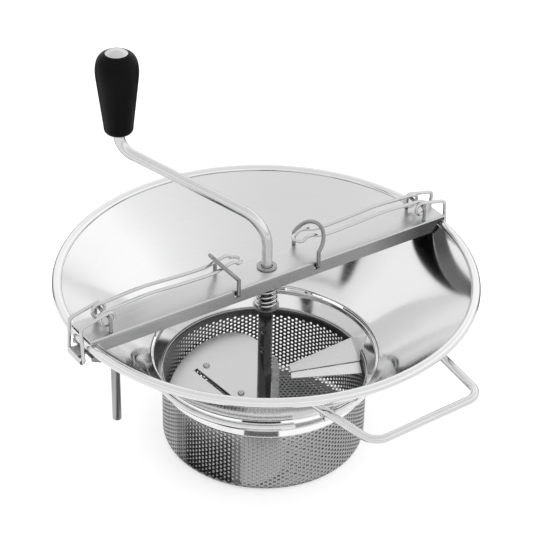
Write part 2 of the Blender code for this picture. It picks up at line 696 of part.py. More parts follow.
def make_grip():
    """A pear shaped grip, bored for the crank, with a shallow seat for its cap."""
    place = polar(CRANK_THROW, CRANK_AZIMUTH, RIM_HEIGHT + GRIP_START)
    bore = ROD + PIVOT_GAP
    heights = [1.0, 0.965, 0.90, 0.80, 0.68, 0.55, 0.40, 0.25, 0.12, 0.04, 0.0]
    radius_shares = [0.60, 0.80, 0.93, 0.99, 1.0, 0.965, 0.885, 0.795, 0.72, 0.69, 0.62]
    profile = [(bore, GRIP_LENGTH)]
    for share, radius_share in zip(heights, radius_shares):
        profile.append((GRIP_RADIUS * radius_share, GRIP_LENGTH * share))
    profile.append((bore, 0.0))
    return turned("grip", profile, black_plastic, 24, place=place)


def make_cap():
    """A low dome that closes the grip's upper end."""
    place = polar(CRANK_THROW, CRANK_AZIMUTH, RIM_HEIGHT + GRIP_START + GRIP_LENGTH + SEAT_GAP)
    dome = (CAP_RADIUS ** 2 + CAP_HEIGHT ** 2) / (2 * CAP_HEIGHT)
    spread = math.degrees(math.asin(CAP_RADIUS / dome))
    profile = arc((0.0, CAP_HEIGHT - dome), dome, 90.0, 90.0 - spread, 5)
    profile[0] = (0.0, CAP_HEIGHT)
    profile += [(0.0, 0.0)]
    return turned("grip_cap", profile, steel, 24, closed=False, place=place)


def blade_matrix():
    """The blade's own plane: X uphill, its centre on the shaft's axis."""
    slope = math.radians(BLADE_SLOPE)
    lowest = SIEVE_FLOOR + BLADE_FLOOR_GAP
    centre = lowest + BLADE_RADIUS * math.tan(slope) + BLADE_SHEET * math.cos(slope) / 2
    turn = Matrix.Rotation(math.radians(BLADE_UPHILL), 4, "Z")
    tilt = Matrix.Rotation(-slope, 4, "Y")
    return Matrix.Translation((0.0, 0.0, centre)) @ turn @ tilt


def slot_line():
    """The slot's two ends in the blade's plane, and the direction across it."""
    outer = Vector(SLOT_ENDS[0]) * BLADE_RADIUS
    inner = Vector(SLOT_ENDS[1]) * BLADE_RADIUS
    along = (inner - outer).normalized()
    across = Vector((-along.y, along.x))
    if across.x < 0:
        across = -across
    return outer, inner, across


def rivet_places():
    outer, inner, across = slot_line()
    offset = across * (SLOT_WIDTH / 2 + LEAF_WIDTH / 2)
    return [outer.lerp(inner, share) + offset for share in RIVET_PLACE_SHARES]


def circle(centre, radius, steps):
    """A ring of points that starts half a step round, so none lies level with the blade's edge."""
    first = 180.0 / steps
    return arc(centre, radius, first, first + 360.0 - 360.0 / steps, steps - 1)


def strip_outline(start, end, across, low, high):
    """The four corners of a strip beside a line, from one offset across it to another."""
    return [start + across * low, end + across * low, end + across * high, start + across * high]


def seen_from_above(points):
    """Points of the blade's own plane that show at the given places from above."""
    return [(x / math.cos(math.radians(BLADE_SLOPE)), y) for x, y in points]


def make_blade():
    """A half disc with round corners, a lobe round the shaft, a long slot and two rivet holes."""
    hub = BLADE_HUB_RADIUS
    rise = BLADE_CORNER - BLADE_SETBACK
    along = math.sqrt((BLADE_RADIUS - BLADE_CORNER) ** 2 - rise ** 2)
    touch = math.degrees(math.atan2(rise, along))
    right = arc((along, rise), BLADE_CORNER, -90.0, touch, 8)
    left = arc((-along, rise), BLADE_CORNER, 180.0 - touch, 270.0, 8)
    round_edge = arc((0.0, 0.0), BLADE_RADIUS, touch, 180.0 - touch, 16)
    outline = seen_from_above(right + round_edge[1:-1] + left)
    lobe = math.degrees(math.asin(BLADE_SETBACK / hub))
    outline += arc((0.0, 0.0), hub, 180.0 + lobe, 360.0 - lobe, 6)
    outer, inner, across = slot_line()
    slot = strip_outline(outer, inner, across, -SLOT_WIDTH / 2, SLOT_WIDTH / 2)
    shaft = circle((0.0, 0.0), SLEEVE_OUTER / math.cos(math.radians(BLADE_SLOPE)) + SEAT_GAP * 2, 16)
    rivets = [circle(place, RIVET_RADIUS + SEAT_GAP, 10) for place in rivet_places()]
    blade = plate("blade_plate", [outline, slot, shaft] + rivets, BLADE_SHEET, steel)
    blade.matrix_world = blade_matrix()
    return blade


def make_leaf():
    """A stiffening strip under the blade, beside its slot."""
    outer, inner, across = slot_line()
    along = (inner - outer).normalized() * LEAF_OVERHANG
    edge = SLOT_WIDTH / 2
    outline = strip_outline(outer - along, inner + along, across, edge, edge + LEAF_WIDTH)
    rivets = [circle(place, RIVET_RADIUS + SEAT_GAP, 10) for place in rivet_places()]
    leaf = plate("blade_stiffener", [outline] + rivets, LEAF_SHEET, steel)
    below = -(BLADE_SHEET / 2 + SEAT_GAP + LEAF_SHEET / 2)
    leaf.matrix_world = blade_matrix() @ Matrix.Translation((0.0, 0.0, below))
    return leaf


def make_rivet(number):
    """A rivet that holds the strip to the blade, with a head above and below."""
    top = BLADE_SHEET / 2 + SEAT_GAP
    bottom = -(top + LEAF_SHEET + SEAT_GAP)
    shoulder = RIVET_HEAD_RADIUS * RIVET_SHOULDER_SHARE
    profile = [
        (0.0, top + RIVET_HEAD_HEIGHT),
        (shoulder, top + RIVET_HEAD_HEIGHT * RIVET_SHOULDER_SHARE),
        (RIVET_HEAD_RADIUS, top),
        (RIVET_RADIUS, top),
        (RIVET_RADIUS, bottom),
        (RIVET_HEAD_RADIUS, bottom),
        (shoulder, bottom - RIVET_HEAD_HEIGHT * RIVET_SHOULDER_SHARE),
        (0.0, bottom - RIVET_HEAD_HEIGHT),
    ]
    rivet = turned("blade_rivet_%d" % (number + 1), profile, steel, 12, closed=False)
    rivet.matrix_world = blade_matrix() @ Matrix.Translation(rivet_places()[number].to_3d())
    return rivet


def make_gusset():
    """An upright fin from the sleeve down to the blade, its outer corner rounded off."""
    inner = SLEEVE_OUTER + SEAT_GAP
    slope = math.tan(math.radians(BLADE_SLOPE))
    rise = math.cos(math.radians(BLADE_UPHILL - GUSSET_AZIMUTH))
    centre = blade_matrix().translation.z
    thick = BLADE_SHEET / math.cos(math.radians(BLADE_SLOPE)) / 2
    foot_in = centre + slope * rise * inner + thick + 2 * SEAT_GAP
    foot_out = centre + slope * rise * GUSSET_REACH + thick + 2 * SEAT_GAP
    top = foot_in + GUSSET_HEIGHT
    width = GUSSET_REACH - inner
    outline = [(inner, foot_in), (GUSSET_REACH, foot_out)]
    for i in range(7):
        angle = math.radians(90.0 * i / 6)
        outline.append((inner + width * math.cos(angle), top - GUSSET_SHOULDER * (1 - math.sin(angle))))
    fin = plate("blade_gusset", [outline], GUSSET_SHEET, steel)
    upright = Matrix.Rotation(math.radians(90.0), 4, "X")
    fin.matrix_world = Matrix.Rotation(math.radians(GUSSET_AZIMUTH), 4, "Z") @ upright
    return fin


def make_handle(trim):
    """A wire loop: its sides open out towards the bowl and end against the cone."""
    height = RIM_HEIGHT - HANDLE_DROP
    splay = math.radians(HANDLE_SPLAY)
    inside = cone_radius(height) - 2 * HANDLE_WIRE
    wide = HANDLE_HALF_WIDTH
    for _ in range(6):
        root = math.sqrt(inside ** 2 - wide ** 2)
        wide = HANDLE_HALF_WIDTH + (HANDLE_REACH - root) * math.tan(splay)
    corners = [(root, wide, height), (HANDLE_REACH, HANDLE_HALF_WIDTH, height),
               (HANDLE_REACH, -HANDLE_HALF_WIDTH, height), (root, -wide, height)]
    path = rounded_path(corners, [HANDLE_CORNER, HANDLE_CORNER])
    turn = Matrix.Rotation(math.radians(HANDLE_AZIMUTH), 3, "Z")
    handle = to_mesh(wire("side_handle", [turn @ point for point in path], HANDLE_WIRE, steel))
    boolean(handle, trim)
    return handle


def cone_radius(height):
    """Radius of the middle of the bowl's sheet at a height."""
    share = (height - THROAT_HEIGHT) / CONE_HEIGHT
    return THROAT_RADIUS + share * (CONE_TOP_RADIUS - THROAT_RADIUS)


def make_leg(number, trim):
    """An upright rod under the cone, rounded at its foot."""
    azimuth = FITTING_AZIMUTH + FITTING_STEP * number
    foot = RIM_HEIGHT - LEG_FOOT_DROP
    top = cone_height(LEG_DISTANCE) + LEG_ROD
    profile = [(0.0, top), (LEG_ROD, top), (LEG_ROD, foot + LEG_FOOT_ROUND),
               (LEG_ROD - LEG_FOOT_ROUND, foot), (0.0, foot)]
    leg = turned("support_leg_%d" % number, profile, steel, 14, closed=False,
                 place=polar(LEG_DISTANCE, azimuth))
    boolean(leg, trim)
    return leg


def half_turn(side):
    return 0.0 if side > 0 else math.pi


def side_name(side):
    return "right" if side > 0 else "left"


def make_staple(side):
    """A wire staple through the bridge's sheet, which the clamp's coils turn on."""
    x = COIL_DISTANCE
    y = STAPLE_HALF_GAUGE
    foot = BRIDGE_BOTTOM_OF_SHEET - STAPLE_FOOT
    corners = [(x, -y, foot), (x, -y, STAPLE_HEIGHT), (x, y, STAPLE_HEIGHT), (x, y, foot)]
    bend = 2 * CLAMP_WIRE
    path = rounded_path(corners, [bend, bend], 4)
    return wire(side_name(side) + "_staple", path, CLAMP_WIRE, steel, turn=half_turn(side))


def make_clamp(side):
    """One spring wire: a bail over the rim, a coil round the staple on each side, and the lever."""
    top = COIL_HEIGHT + COIL_RADIUS
    inner = LEVER_HALF_GAUGE
    outer = BAIL_HALF_GAUGE
    corner = BRIDGE_TOP + BAIL_CORNER_HEIGHT
    corners = [
        (BAIL_DISTANCE, SEAT_GAP / 2, ROLLER_HEIGHT),
        (BAIL_DISTANCE, BAIL_FOOT_GAUGE, ROLLER_HEIGHT),
        (BAIL_DISTANCE, outer, corner),
        (COIL_DISTANCE, outer, top),
    ]
    half = rounded_path(corners, [BAIL_FOOT_CORNER, BAIL_CORNER], 4)
    for i in range(1, COIL_STEPS + 1):
        angle = math.pi / 2 + 2 * math.pi * i / COIL_STEPS
        y = outer + (inner - outer) * i / COIL_STEPS
        half.append(Vector((COIL_DISTANCE + COIL_RADIUS * math.cos(angle), y,
                            COIL_HEIGHT + COIL_RADIUS * math.sin(angle))))
    half += [Vector((x, inner, BRIDGE_TOP + height)) for x, height in LEVER_BOW]
    tip = []
    for i in range(7):
        angle = math.pi * (0.5 + i / 6)
        tip.append(Vector((LEVER_TIP_DISTANCE + inner + inner * math.cos(angle), inner * math.sin(angle),
                           BRIDGE_TOP + LEVER_TIP_HEIGHT)))
    other = [Vector((point.x, -point.y, point.z)) for point in reversed(half)]
    origin = Vector((COIL_DISTANCE, 0.0, STAPLE_HEIGHT))
    name = side_name(side) + "_clamp_wire"
    return wire(name, half + tip + other, CLAMP_WIRE, steel, origin, half_turn(side))


def make_roller(side):
    """A short sleeve on the bail's lower bar."""
    half = BAIL_FOOT_GAUGE - BAIL_FOOT_CORNER
    bore = CLAMP_WIRE + PIVOT_GAP
    profile = [
        (bore, half),
        (ROLLER_RADIUS - ROLLER_ROUND, half),
        (ROLLER_RADIUS, half - ROLLER_ROUND),
        (ROLLER_RADIUS, -half + ROLLER_ROUND),
        (ROLLER_RADIUS - ROLLER_ROUND, -half),
        (bore, -half),
    ]
    place = Vector((side * BAIL_DISTANCE, 0.0, ROLLER_HEIGHT))
    roller = turned(side_name(side) + "_clamp_roller", profile, steel, 14, place=place)
    roller.rotation_euler = (math.radians(90.0), 0.0, 0.0)
    return roller


def make_rim_lug(side, trim):
    """A folded lug under the rim: cheeks against the cone, and a tongue over the clamp's roller."""
    half = LUG_HALF_WIDTH
    top = RIM_HEIGHT - LUG_DROP
    low = top - LUG_DEPTH
    near = cone_radius(low) - CUT_OVERRUN
    edge = top - 2 * LUG_SHEET
    corners = [(near, top), (LUG_TONGUE_REACH, top), (LUG_TONGUE_REACH, edge), (LUG_REACH_OUT, edge),
               (cone_radius(low) + LUG_FOOT, low), (near, low)]
    turn = Matrix.Rotation(half_turn(side), 4, "Z")
    shell = bmesh.new()
    outline = [shell.verts.new((x, -half, z)) for x, z in corners]
    face = shell.faces.new(outline)
    grown = bmesh.ops.extrude_face_region(shell, geom=[face])
    moved = [item for item in grown["geom"] if isinstance(item, bmesh.types.BMVert)]
    bmesh.ops.translate(shell, verts=moved, vec=(0.0, 2 * half, 0.0))
    bmesh.ops.recalc_face_normals(shell, faces=shell.faces)
    name = side_name(side) + "_rim_lug"
    mesh = bpy.data.meshes.new(name)
    shell.to_mesh(mesh)
    shell.free()
    lug = add_piece(name, mesh, steel, turn=half_turn(side))
    boolean(lug, trim)
    waste = bmesh.new()
    inside = half - LUG_SHEET
    far = LUG_TONGUE_REACH + CUT_OVERRUN
    box(waste, (near - CUT_OVERRUN, -inside, low - CUT_OVERRUN), (far, inside, top - LUG_SHEET), turn)
    boolean(lug, cutter(side_name(side) + "_lug_bay", waste))
    shoulders = bmesh.new()
    for flank in (1, -1):
        middle = flank * (half + CUT_OVERRUN + LUG_TONGUE / 2) / 2
        reach = (half + CUT_OVERRUN - LUG_TONGUE / 2) / 2
        box(shoulders, (LUG_REACH_OUT, middle - reach, low), (far, middle + reach, top + CUT_OVERRUN), turn)
    boolean(lug, cutter(side_name(side) + "_lug_shoulders", shoulders))
    return lug


def make_loop(side):
    """The wire keeper that swings over a lever's tip: upright legs, then a leaning round arch."""
    x = LOOP_DISTANCE
    y = LOOP_HALF_GAUGE
    low = LOOP_PIVOT_HEIGHT
    lean = math.radians(LOOP_LEAN)
    inside = BRIDGE_WIDTH / 2 - BRIDGE_SHEET - LOOP_FOOT
    bend = LOOP_WIRE + SEAT_GAP
    knee = low + LOOP_LEG
    path = rounded_path([(x, -inside, low), (x, -y, low), (x, -y, knee)], [bend], 4)
    for i in range(1, 12):
        angle = math.pi * i / 12
        rise = y * math.sin(angle)
        path.append(Vector((x + rise * math.sin(lean), -y * math.cos(angle), knee + rise * math.cos(lean))))
    path += rounded_path([(x, y, knee), (x, y, low), (x, inside, low)], [bend], 4)
    origin = Vector((x, 0.0, low))
    return wire(side_name(side) + "_keeper_loop", path, LOOP_WIRE, steel, origin, half_turn(side))


clear_scene()
parts = new_collection("food_mill")
cutters = new_collection("cutters")
steel = make_material("polished steel", (0.80, 0.80, 0.80), 1.0, 0.12)
satin_steel = make_material("brushed steel", (0.62, 0.62, 0.62), 1.0, 0.32)
dark_steel = make_material("plain steel", (0.35, 0.35, 0.35), 1.0, 0.40)
black_plastic = make_material("black plastic", (0.012, 0.012, 0.012), 0.0, 0.28)

clearance = bowl_clearance()
make_bowl()
make_rim_wire()
make_sieve_basket()
make_sieve_ring()
make_baffle()
make_bridge()
make_bush()
make_spring()
make_spring_seat()
make_sleeve()
make_crank()
make_grip()
make_cap()
make_blade()
make_leaf()
for rivet_number in (0, 1):
    make_rivet(rivet_number)
make_gusset()
make_handle(clearance)
for leg_number in (1, 2):
    make_leg(leg_number, clearance)
for end in (1, -1):
    make_staple(end)
    make_clamp(end)
    make_roller(end)
    make_rim_lug(end, clearance)
    make_loop(end)
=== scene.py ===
# Looks of the hand cranked food mill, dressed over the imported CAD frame. Metres, +Z up, +X along the bridge.
import json
import math

import bmesh
import bpy
import numpy as np
from mathutils import Euler, Matrix, Vector
from mathutils.geometry import delaunay_2d_cdt

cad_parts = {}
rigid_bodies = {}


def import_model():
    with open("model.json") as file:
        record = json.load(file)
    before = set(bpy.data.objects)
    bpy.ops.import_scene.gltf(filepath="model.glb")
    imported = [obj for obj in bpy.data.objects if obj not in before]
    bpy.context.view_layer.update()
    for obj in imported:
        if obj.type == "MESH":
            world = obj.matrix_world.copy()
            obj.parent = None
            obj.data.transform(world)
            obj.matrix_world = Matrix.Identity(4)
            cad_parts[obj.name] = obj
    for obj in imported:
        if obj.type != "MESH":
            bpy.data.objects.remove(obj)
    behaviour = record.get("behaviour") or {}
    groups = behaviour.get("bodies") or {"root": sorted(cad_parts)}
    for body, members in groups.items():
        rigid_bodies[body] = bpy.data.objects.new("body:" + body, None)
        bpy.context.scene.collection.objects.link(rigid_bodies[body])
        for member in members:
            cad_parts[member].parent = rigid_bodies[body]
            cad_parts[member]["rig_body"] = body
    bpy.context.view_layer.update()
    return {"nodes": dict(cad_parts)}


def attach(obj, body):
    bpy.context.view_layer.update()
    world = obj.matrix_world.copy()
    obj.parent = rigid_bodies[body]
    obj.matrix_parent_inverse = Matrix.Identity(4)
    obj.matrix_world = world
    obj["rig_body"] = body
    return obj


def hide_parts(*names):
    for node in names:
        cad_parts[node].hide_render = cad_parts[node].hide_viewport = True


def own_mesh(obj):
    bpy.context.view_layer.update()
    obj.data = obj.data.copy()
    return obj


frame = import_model()
scene = bpy.context.scene
nodes = frame["nodes"]
print("frame loaded:", len(nodes), "nodes")

# Sizes that several pieces share
common = {
    "gap": 0.0003,           # between two pieces that touch
    "rimRadius": 0.1515,     # centre circle of the rim's bead
    "rimHeight": 0.140,
    "beadRadius": 0.0035,
    "throatRadius": 0.085,   # middle of the bowl's sheet
    "throatHeight": 0.073,
    "coneTop": 0.1485,       # the cone's radius at the rim's height
    "sheet": 0.001,
    "bridgeTop": 0.1471,
    "lugAzimuth": -82.0,     # first of the three bayonet lugs
    "loopDistance": 0.0345,  # of a keeper loop's feet from the shaft, and their height
    "loopPivot": 0.1429,
}
coneRun = common["coneTop"] - common["throatRadius"]
coneRise = common["rimHeight"] - common["throatHeight"]


# Mesh tools

def setUp(thing, **settings):
    # Gives a thing of Blender's its settings.
    for name, value in settings.items():
        setattr(thing, name, value)
    return thing


def added(name, data):
    # A new object in the scene.
    thing = bpy.data.objects.new(name, data)
    scene.collection.objects.link(thing)
    return thing


def finishPiece(piece, body, material, node, slot="polished_steel", sharp=35.0):
    # Material and shading, smooth but for sharp edges; where there is a body, the piece is attached to it and
    # the CAD node that it stands for is hidden.
    piece.data.materials.clear()
    piece.data.materials.append(material)
    if sharp:
        piece.data.shade_smooth()
        piece.data.set_sharp_from_angle(angle=math.radians(sharp))
    if body:
        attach(piece, body)
        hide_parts(node)


def plainMesh(name, points, faces):
    mesh = bpy.data.meshes.new(name)
    mesh.from_pydata(np.asarray(points, float).tolist(), [], faces)
    return mesh


def merged(mesh, joinFlats=False):
    # Merges points that meet, then joins the faces of one plane or else turns all faces outwards.
    shell = bmesh.new()
    shell.from_mesh(mesh)
    bmesh.ops.remove_doubles(shell, verts=shell.verts, dist=0.000005)
    if joinFlats:
        bmesh.ops.dissolve_limit(shell, angle_limit=math.radians(1.0), verts=shell.verts, edges=shell.edges)
    else:
        bmesh.ops.recalc_face_normals(shell, faces=shell.faces)
    shell.to_mesh(mesh)
    shell.free()
    return mesh


def meshPiece(name, points, faces, body, material, node, merge=False, **finish):
    # Arrays of points and faces become an object, which without a body is finished later.
    mesh = bpy.data.meshes.new(name)
    flat = np.concatenate([face.ravel() for face in faces])
    sizes = np.concatenate([np.full(len(face), face.shape[1]) for face in faces])
    mesh.vertices.add(len(points))
    mesh.vertices.foreach_set("co", np.asarray(points, np.float32).ravel())
    mesh.loops.add(len(flat))
    mesh.loops.foreach_set("vertex_index", flat.astype(np.int32))
    mesh.polygons.add(len(sizes))
    mesh.polygons.foreach_set("loop_start", (np.cumsum(sizes) - sizes).astype(np.int32))
    mesh.update(calc_edges=True)
    mesh.validate()
    piece = added(name, merged(mesh) if merge else mesh)
    finishPiece(piece, body, material, node, **finish)
    return piece


def gridFaces(rows, columns, wrapRows=False, first=0):
    # Quads of a grid of points in row order, each row of it a closed ring.
    i, j = np.meshgrid(np.arange(rows if wrapRows else rows - 1), np.arange(columns), indexing="ij")
    ni, nj = (i + 1) % rows, (j + 1) % columns
    quads = np.stack([i * columns + nj, ni * columns + nj, ni * columns + j, i * columns + j], -1)
    return quads.reshape(-1, 4) + first


def cappedFaces(rings, sides):
    # Quads between the rings and a fan to a pole at both ends; the two poles are numbered after the rings.
    k = np.arange(sides)
    after = (k + 1) % sides
    count = rings * sides
    start = np.stack([np.full(sides, count), after, k], -1)
    end = np.stack([np.full(sides, count + 1), count - sides + k, count - sides + after], -1)
    return [gridFaces(rings, sides), start, end]


def around(radius, azimuth, height):
    # Points about the Z axis: x = radius cos a, y = radius sin a.
    return np.stack(np.broadcast_arrays(radius * np.cos(azimuth), radius * np.sin(azimuth), height), -1)


def arcPoints(centre, radius, start, end, steps):
    # Points of an arc, angles in degrees, both ends included.
    return around(radius, np.radians(np.linspace(start, end, steps + 1)), 0)[:, :2] + centre


def polar(radius, azimuth, height):
    return around(radius, math.radians(azimuth), height)


def turnedPiece(name, profile, body, material, node=None, steps=96, place=(0, 0, 0), closed=True, wobble=None,
                move=None, **finish):
    # Each point (radius, height) of a profile goes round Z. The solid lies on the profile's left, and an open
    # profile starts and ends on the axis. At last a function may move all the points.
    profile = np.asarray(profile, float)
    radius, height = profile[:, :1], profile[:, 1:]
    azimuth = (np.arange(steps) * 2 * np.pi / steps)[None]
    if wobble is not None:
        radius, height = wobble(radius, height, azimuth)
    points = around(radius, azimuth, height) + np.asarray(place)
    faces = [gridFaces(len(profile), steps, True)]
    if not closed:
        points = np.vstack([points[1:-1].reshape(-1, 3), points[0].mean(0), points[-1].mean(0)])
        faces = cappedFaces(len(profile) - 2, steps)
    points = points.reshape(-1, 3)
    return meshPiece(name, move(points) if move else points, faces, body, material, node, **finish)


def roundedPath(corners, radii, steps=10):
    # A path through the corners, each of them rounded by an arc of its own radius.
    corners = [np.asarray(corner, float) for corner in corners]
    path = [corners[0][None]]
    share = np.linspace(0, 1, steps + 1)[:, None]
    for k, radius in enumerate(radii, 1):
        before, after = (corners[k + step] - corners[k] for step in (-1, 1))
        before, after = before / np.linalg.norm(before), after / np.linalg.norm(after)
        half = math.acos(np.clip(before @ after, -1, 1)) / 2
        bisector = (before + after) / np.linalg.norm(before + after)
        centre = corners[k] + bisector * radius / math.sin(half)
        first, last = (corners[k] + way * radius / math.tan(half) - centre for way in (before, after))
        swing = math.pi - 2 * half
        spokes = np.sin((1 - share) * swing) * first + np.sin(share * swing) * last
        path.append(centre + spokes / math.sin(swing))
    path.append(corners[-1][None])
    return np.vstack(path)


def smoothPath(points, each=8):
    # Catmull-Rom curve through the points, with a number of steps for each stretch.
    points = np.asarray(points, float)
    padded = np.vstack([2 * points[0] - points[1], points, 2 * points[-1] - points[-2]])
    t = (np.arange(each) / each)[None, :, None]
    p0, p1, p2, p3 = (padded[k:len(padded) - 3 + k][:, None, :] for k in range(4))
    curve = 0.5 * (2 * p1 + (p2 - p0) * t + (2 * p0 - 5 * p1 + 4 * p2 - p3) * t ** 2
                   + (3 * p1 - p0 - 3 * p2 + p3) * t ** 3)
    return np.vstack([curve.reshape(-1, points.shape[1]), points[-1:]])


def wirePoints(path, radius, sides, endRound):
    # A circle carried along the path with as little twist as can be, drawn in at the ends by a quarter round.
    path = np.asarray(path, float)
    path = path[np.concatenate([[True], np.linalg.norm(np.diff(path, axis=0), axis=1) > 1e-7])]
    ahead = np.gradient(path, axis=0)
    ahead /= np.linalg.norm(ahead, axis=1)[:, None]
    spoke = np.cross(ahead[0], [0.3, 0.9, 0.2])
    spokes = []
    for direction in ahead:
        spoke = spoke - direction * (spoke @ direction)
        spoke = spoke / np.linalg.norm(spoke)
        spokes.append(spoke)
    spokes = np.array(spokes)
    across = np.cross(ahead, spokes)
    share = np.ones(len(path))
    if endRound:
        turn = np.radians([90, 60, 30])[:, None]
        setBack = radius * endRound * (1 - np.sin(turn))
        path = np.vstack([path[0] + ahead[0] * setBack, path[1:-1], path[-1] - ahead[-1] * setBack[::-1]])
        drawnIn = 1 - endRound * (1 - np.cos(turn[:, 0]))
        share = np.concatenate([drawnIn, share[1:-1], drawnIn[::-1]])
        spokes, across = (np.vstack([[way[0]] * 3, way[1:-1], [way[-1]] * 3]) for way in (spokes, across))
    angle = (np.arange(sides) * 2 * np.pi / sides)[None, :, None]
    ring = spokes[:, None] * np.cos(angle) + across[:, None] * np.sin(angle)
    return path, path[:, None] + ring * (radius * share)[:, None, None]


def wirePiece(name, path, radius, body, material, node, sides=20, endRound=0.35):
    # A round wire: point = path + radius (spoke cos a + across sin a), closed at both ends.
    path, rings = wirePoints(path, radius, sides, endRound)
    points = np.vstack([rings.reshape(-1, 3), path[:1], path[-1:]])
    return meshPiece(name, points, cappedFaces(len(rings), sides), body, material, node)


def sheetOutline(middle, thickness):
    # A closed outline round an open middle line: each side is offset by half the sheet, the ends rounded.
    middle = np.asarray(middle, float)
    along = np.gradient(middle, axis=0)
    along /= np.linalg.norm(along, axis=1)[:, None]
    normal = np.stack([-along[:, 1], along[:, 0]], -1) * thickness / 2
    along *= thickness / 2
    angle = np.radians([45, 0, -45])[:, None]
    endCap = middle[-1] + np.cos(angle) * along[-1] + np.sin(angle) * normal[-1]
    startCap = middle[0] - np.cos(angle) * along[0] - np.sin(angle) * normal[0]
    outline = np.vstack([middle + normal, endCap, (middle - normal)[::-1], startCap])
    steps = np.linalg.norm(outline - np.roll(outline, 1, 0), axis=1)
    return outline[steps > 0.00002]   # without the points that lie on the one before


def applied(piece):
    # Works the piece's modifiers into its mesh.
    bpy.context.view_layer.update()
    mesh = bpy.data.meshes.new_from_object(piece.evaluated_get(bpy.context.evaluated_depsgraph_get()))
    piece.modifiers.clear()
    piece.data = mesh


def modifier(piece, kind, **settings):
    setUp(piece.modifiers.new(kind.lower(), kind), **settings)


def cutWith(piece, meshes):
    # Cuts solids out of a piece.
    helpers = [added("cutter", mesh) for mesh in meshes]
    for helper in helpers:
        modifier(piece, "BOOLEAN", object=helper, solver="EXACT")
    applied(piece)
    for helper in helpers:
        bpy.data.objects.remove(helper)


def brokenEdges(piece, width, angle=25.0):
    # Rounds the edges, and keeps the flats flat under smooth shading.
    modifier(piece, "BEVEL", width=width, segments=2, limit_method="ANGLE", angle_limit=math.radians(angle))
    applied(piece)
    piece.data.shade_smooth()
    modifier(piece, "WEIGHTED_NORMAL", mode="FACE_AREA", weight=90)
    modifier(piece, "TRIANGULATE", min_vertices=5, keep_custom_normals=True)
    applied(piece)


def roundedNode(node, material, width=0.00025, slot="polished_steel", cuts=()):
    # A merged copy of a flat CAD piece, named in camelCase, with its edges broken and its flats shaded flat.
    first, *rest = node.split("_")
    name = first + "".join(word.capitalize() for word in rest)
    piece = added(name, merged(nodes[node].data.copy(), True))
    if cuts:
        cutWith(piece, cuts)
    brokenEdges(piece, width)
    finishPiece(piece, nodes[node]["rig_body"], material, node, slot, None)
    return piece


def faceArrays(piece):
    # Centres and normals of a piece's faces.
    arrays = [np.empty(len(piece.data.polygons) * 3, np.float32) for _ in range(2)]
    piece.data.polygons.foreach_get("center", arrays[0])
    piece.data.polygons.foreach_get("normal", arrays[1])
    return [values.reshape(-1, 3) for values in arrays]


def paintFaces(piece, index, *materials):
    # Adds materials to a piece, and gives each face the number of its own.
    for material in materials:
        piece.data.materials.append(material)
    piece.data.polygons.foreach_set("material_index", index.astype(np.int32))


# Materials

noiseSpan = (0.3, 0.7)       # what most values of the noise lie between
faintBlue = 1.004            # steel's blue over its red and green


def setInputs(tree, node, inputs):
    # Each input takes a value, or a link where a socket is given.
    for key, value in inputs.items():
        if isinstance(value, bpy.types.NodeSocket):
            tree.links.new(value, node.inputs[key])
        else:
            node.inputs[key].default_value = value


def shaderNode(tree, kind, inputs=None, **settings):
    node = setUp(tree.nodes.new("ShaderNode" + kind), **settings)
    setInputs(tree, node, inputs or {})
    return node


def mathNode(tree, operation, *values):
    return shaderNode(tree, "Math", dict(enumerate(values)), operation=operation).outputs[0]


def mapRange(tree, value, start, end=(0.0, 1.0)):
    # A value carried straight from one range to another.
    limits = dict(zip(("From Min", "From Max", "To Min", "To Max"), (*start, *end)))
    return shaderNode(tree, "MapRange", {"Value": value, **limits}).outputs[0]


def objectPlace(tree):
    return shaderNode(tree, "TexCoord").outputs["Object"]


def greyRamp(tree, factor, stops, blue=1.0):
    # A colour ramp through stops of position and grey.
    ramp = shaderNode(tree, "ValToRGB", {0: factor})
    elements = ramp.color_ramp.elements
    for step, (position, grey) in enumerate(stops):
        stop = elements[step] if step < 2 else elements.new(position)
        setUp(stop, position=position, color=(grey, grey, grey * blue, 1))
    return ramp.outputs[0]


def newGroup(name, inputs, outputs):
    # A node group whose inputs are a vector and the named values.
    group = bpy.data.node_groups.new(name, "ShaderNodeTree")
    group.interface.new_socket("Vector", in_out="INPUT", socket_type="NodeSocketVector")
    for label in inputs:
        group.interface.new_socket(label, in_out="INPUT", socket_type="NodeSocketFloat")
    for label, kind in outputs:
        group.interface.new_socket(label, in_out="OUTPUT", socket_type=kind)
    return group, group.nodes.new("NodeGroupInput").outputs, group.nodes.new("NodeGroupOutput")


def polishGroup():
    # Fine marks of a polishing wheel, and the wide smears over them, as two noises.
    outputs = [("Marks", "NodeSocketFloat"), ("Smear", "NodeSocketFloat")]
    group, entry, leave = newGroup("polishMarks", ["Grain", "Smears"], outputs)
    for scale, detail, rough, out in (("Grain", 2.0, 0.55, "Marks"), ("Smears", 3.0, 0.5, "Smear")):
        noise = shaderNode(group, "TexNoise", {"Vector": entry["Vector"], "Scale": entry[scale],
                                               "Detail": detail, "Roughness": rough})
        setInputs(group, leave, {out: noise.outputs[0]})
    return group


def spunGroup():
    # Object coordinates as (radius, height, a little of the angle), so that marks run round the axis.
    group, entry, leave = newGroup("spunCoordinates", ["Round"], [("Vector", "NodeSocketVector")])
    x, y, z = shaderNode(group, "SeparateXYZ", {0: entry["Vector"]}).outputs
    square = mathNode(group, "ADD", mathNode(group, "MULTIPLY", x, x), mathNode(group, "MULTIPLY", y, y))
    angle = mathNode(group, "ABSOLUTE", mathNode(group, "ARCTAN2", y, x))
    joined = shaderNode(group, "CombineXYZ", {0: mathNode(group, "SQRT", square), 1: z,
                                              2: mathNode(group, "MULTIPLY", angle, entry["Round"])})
    setInputs(group, leave, {0: joined.outputs[0]})
    return group


polishMarks = polishGroup()
spunCoordinates = spunGroup()


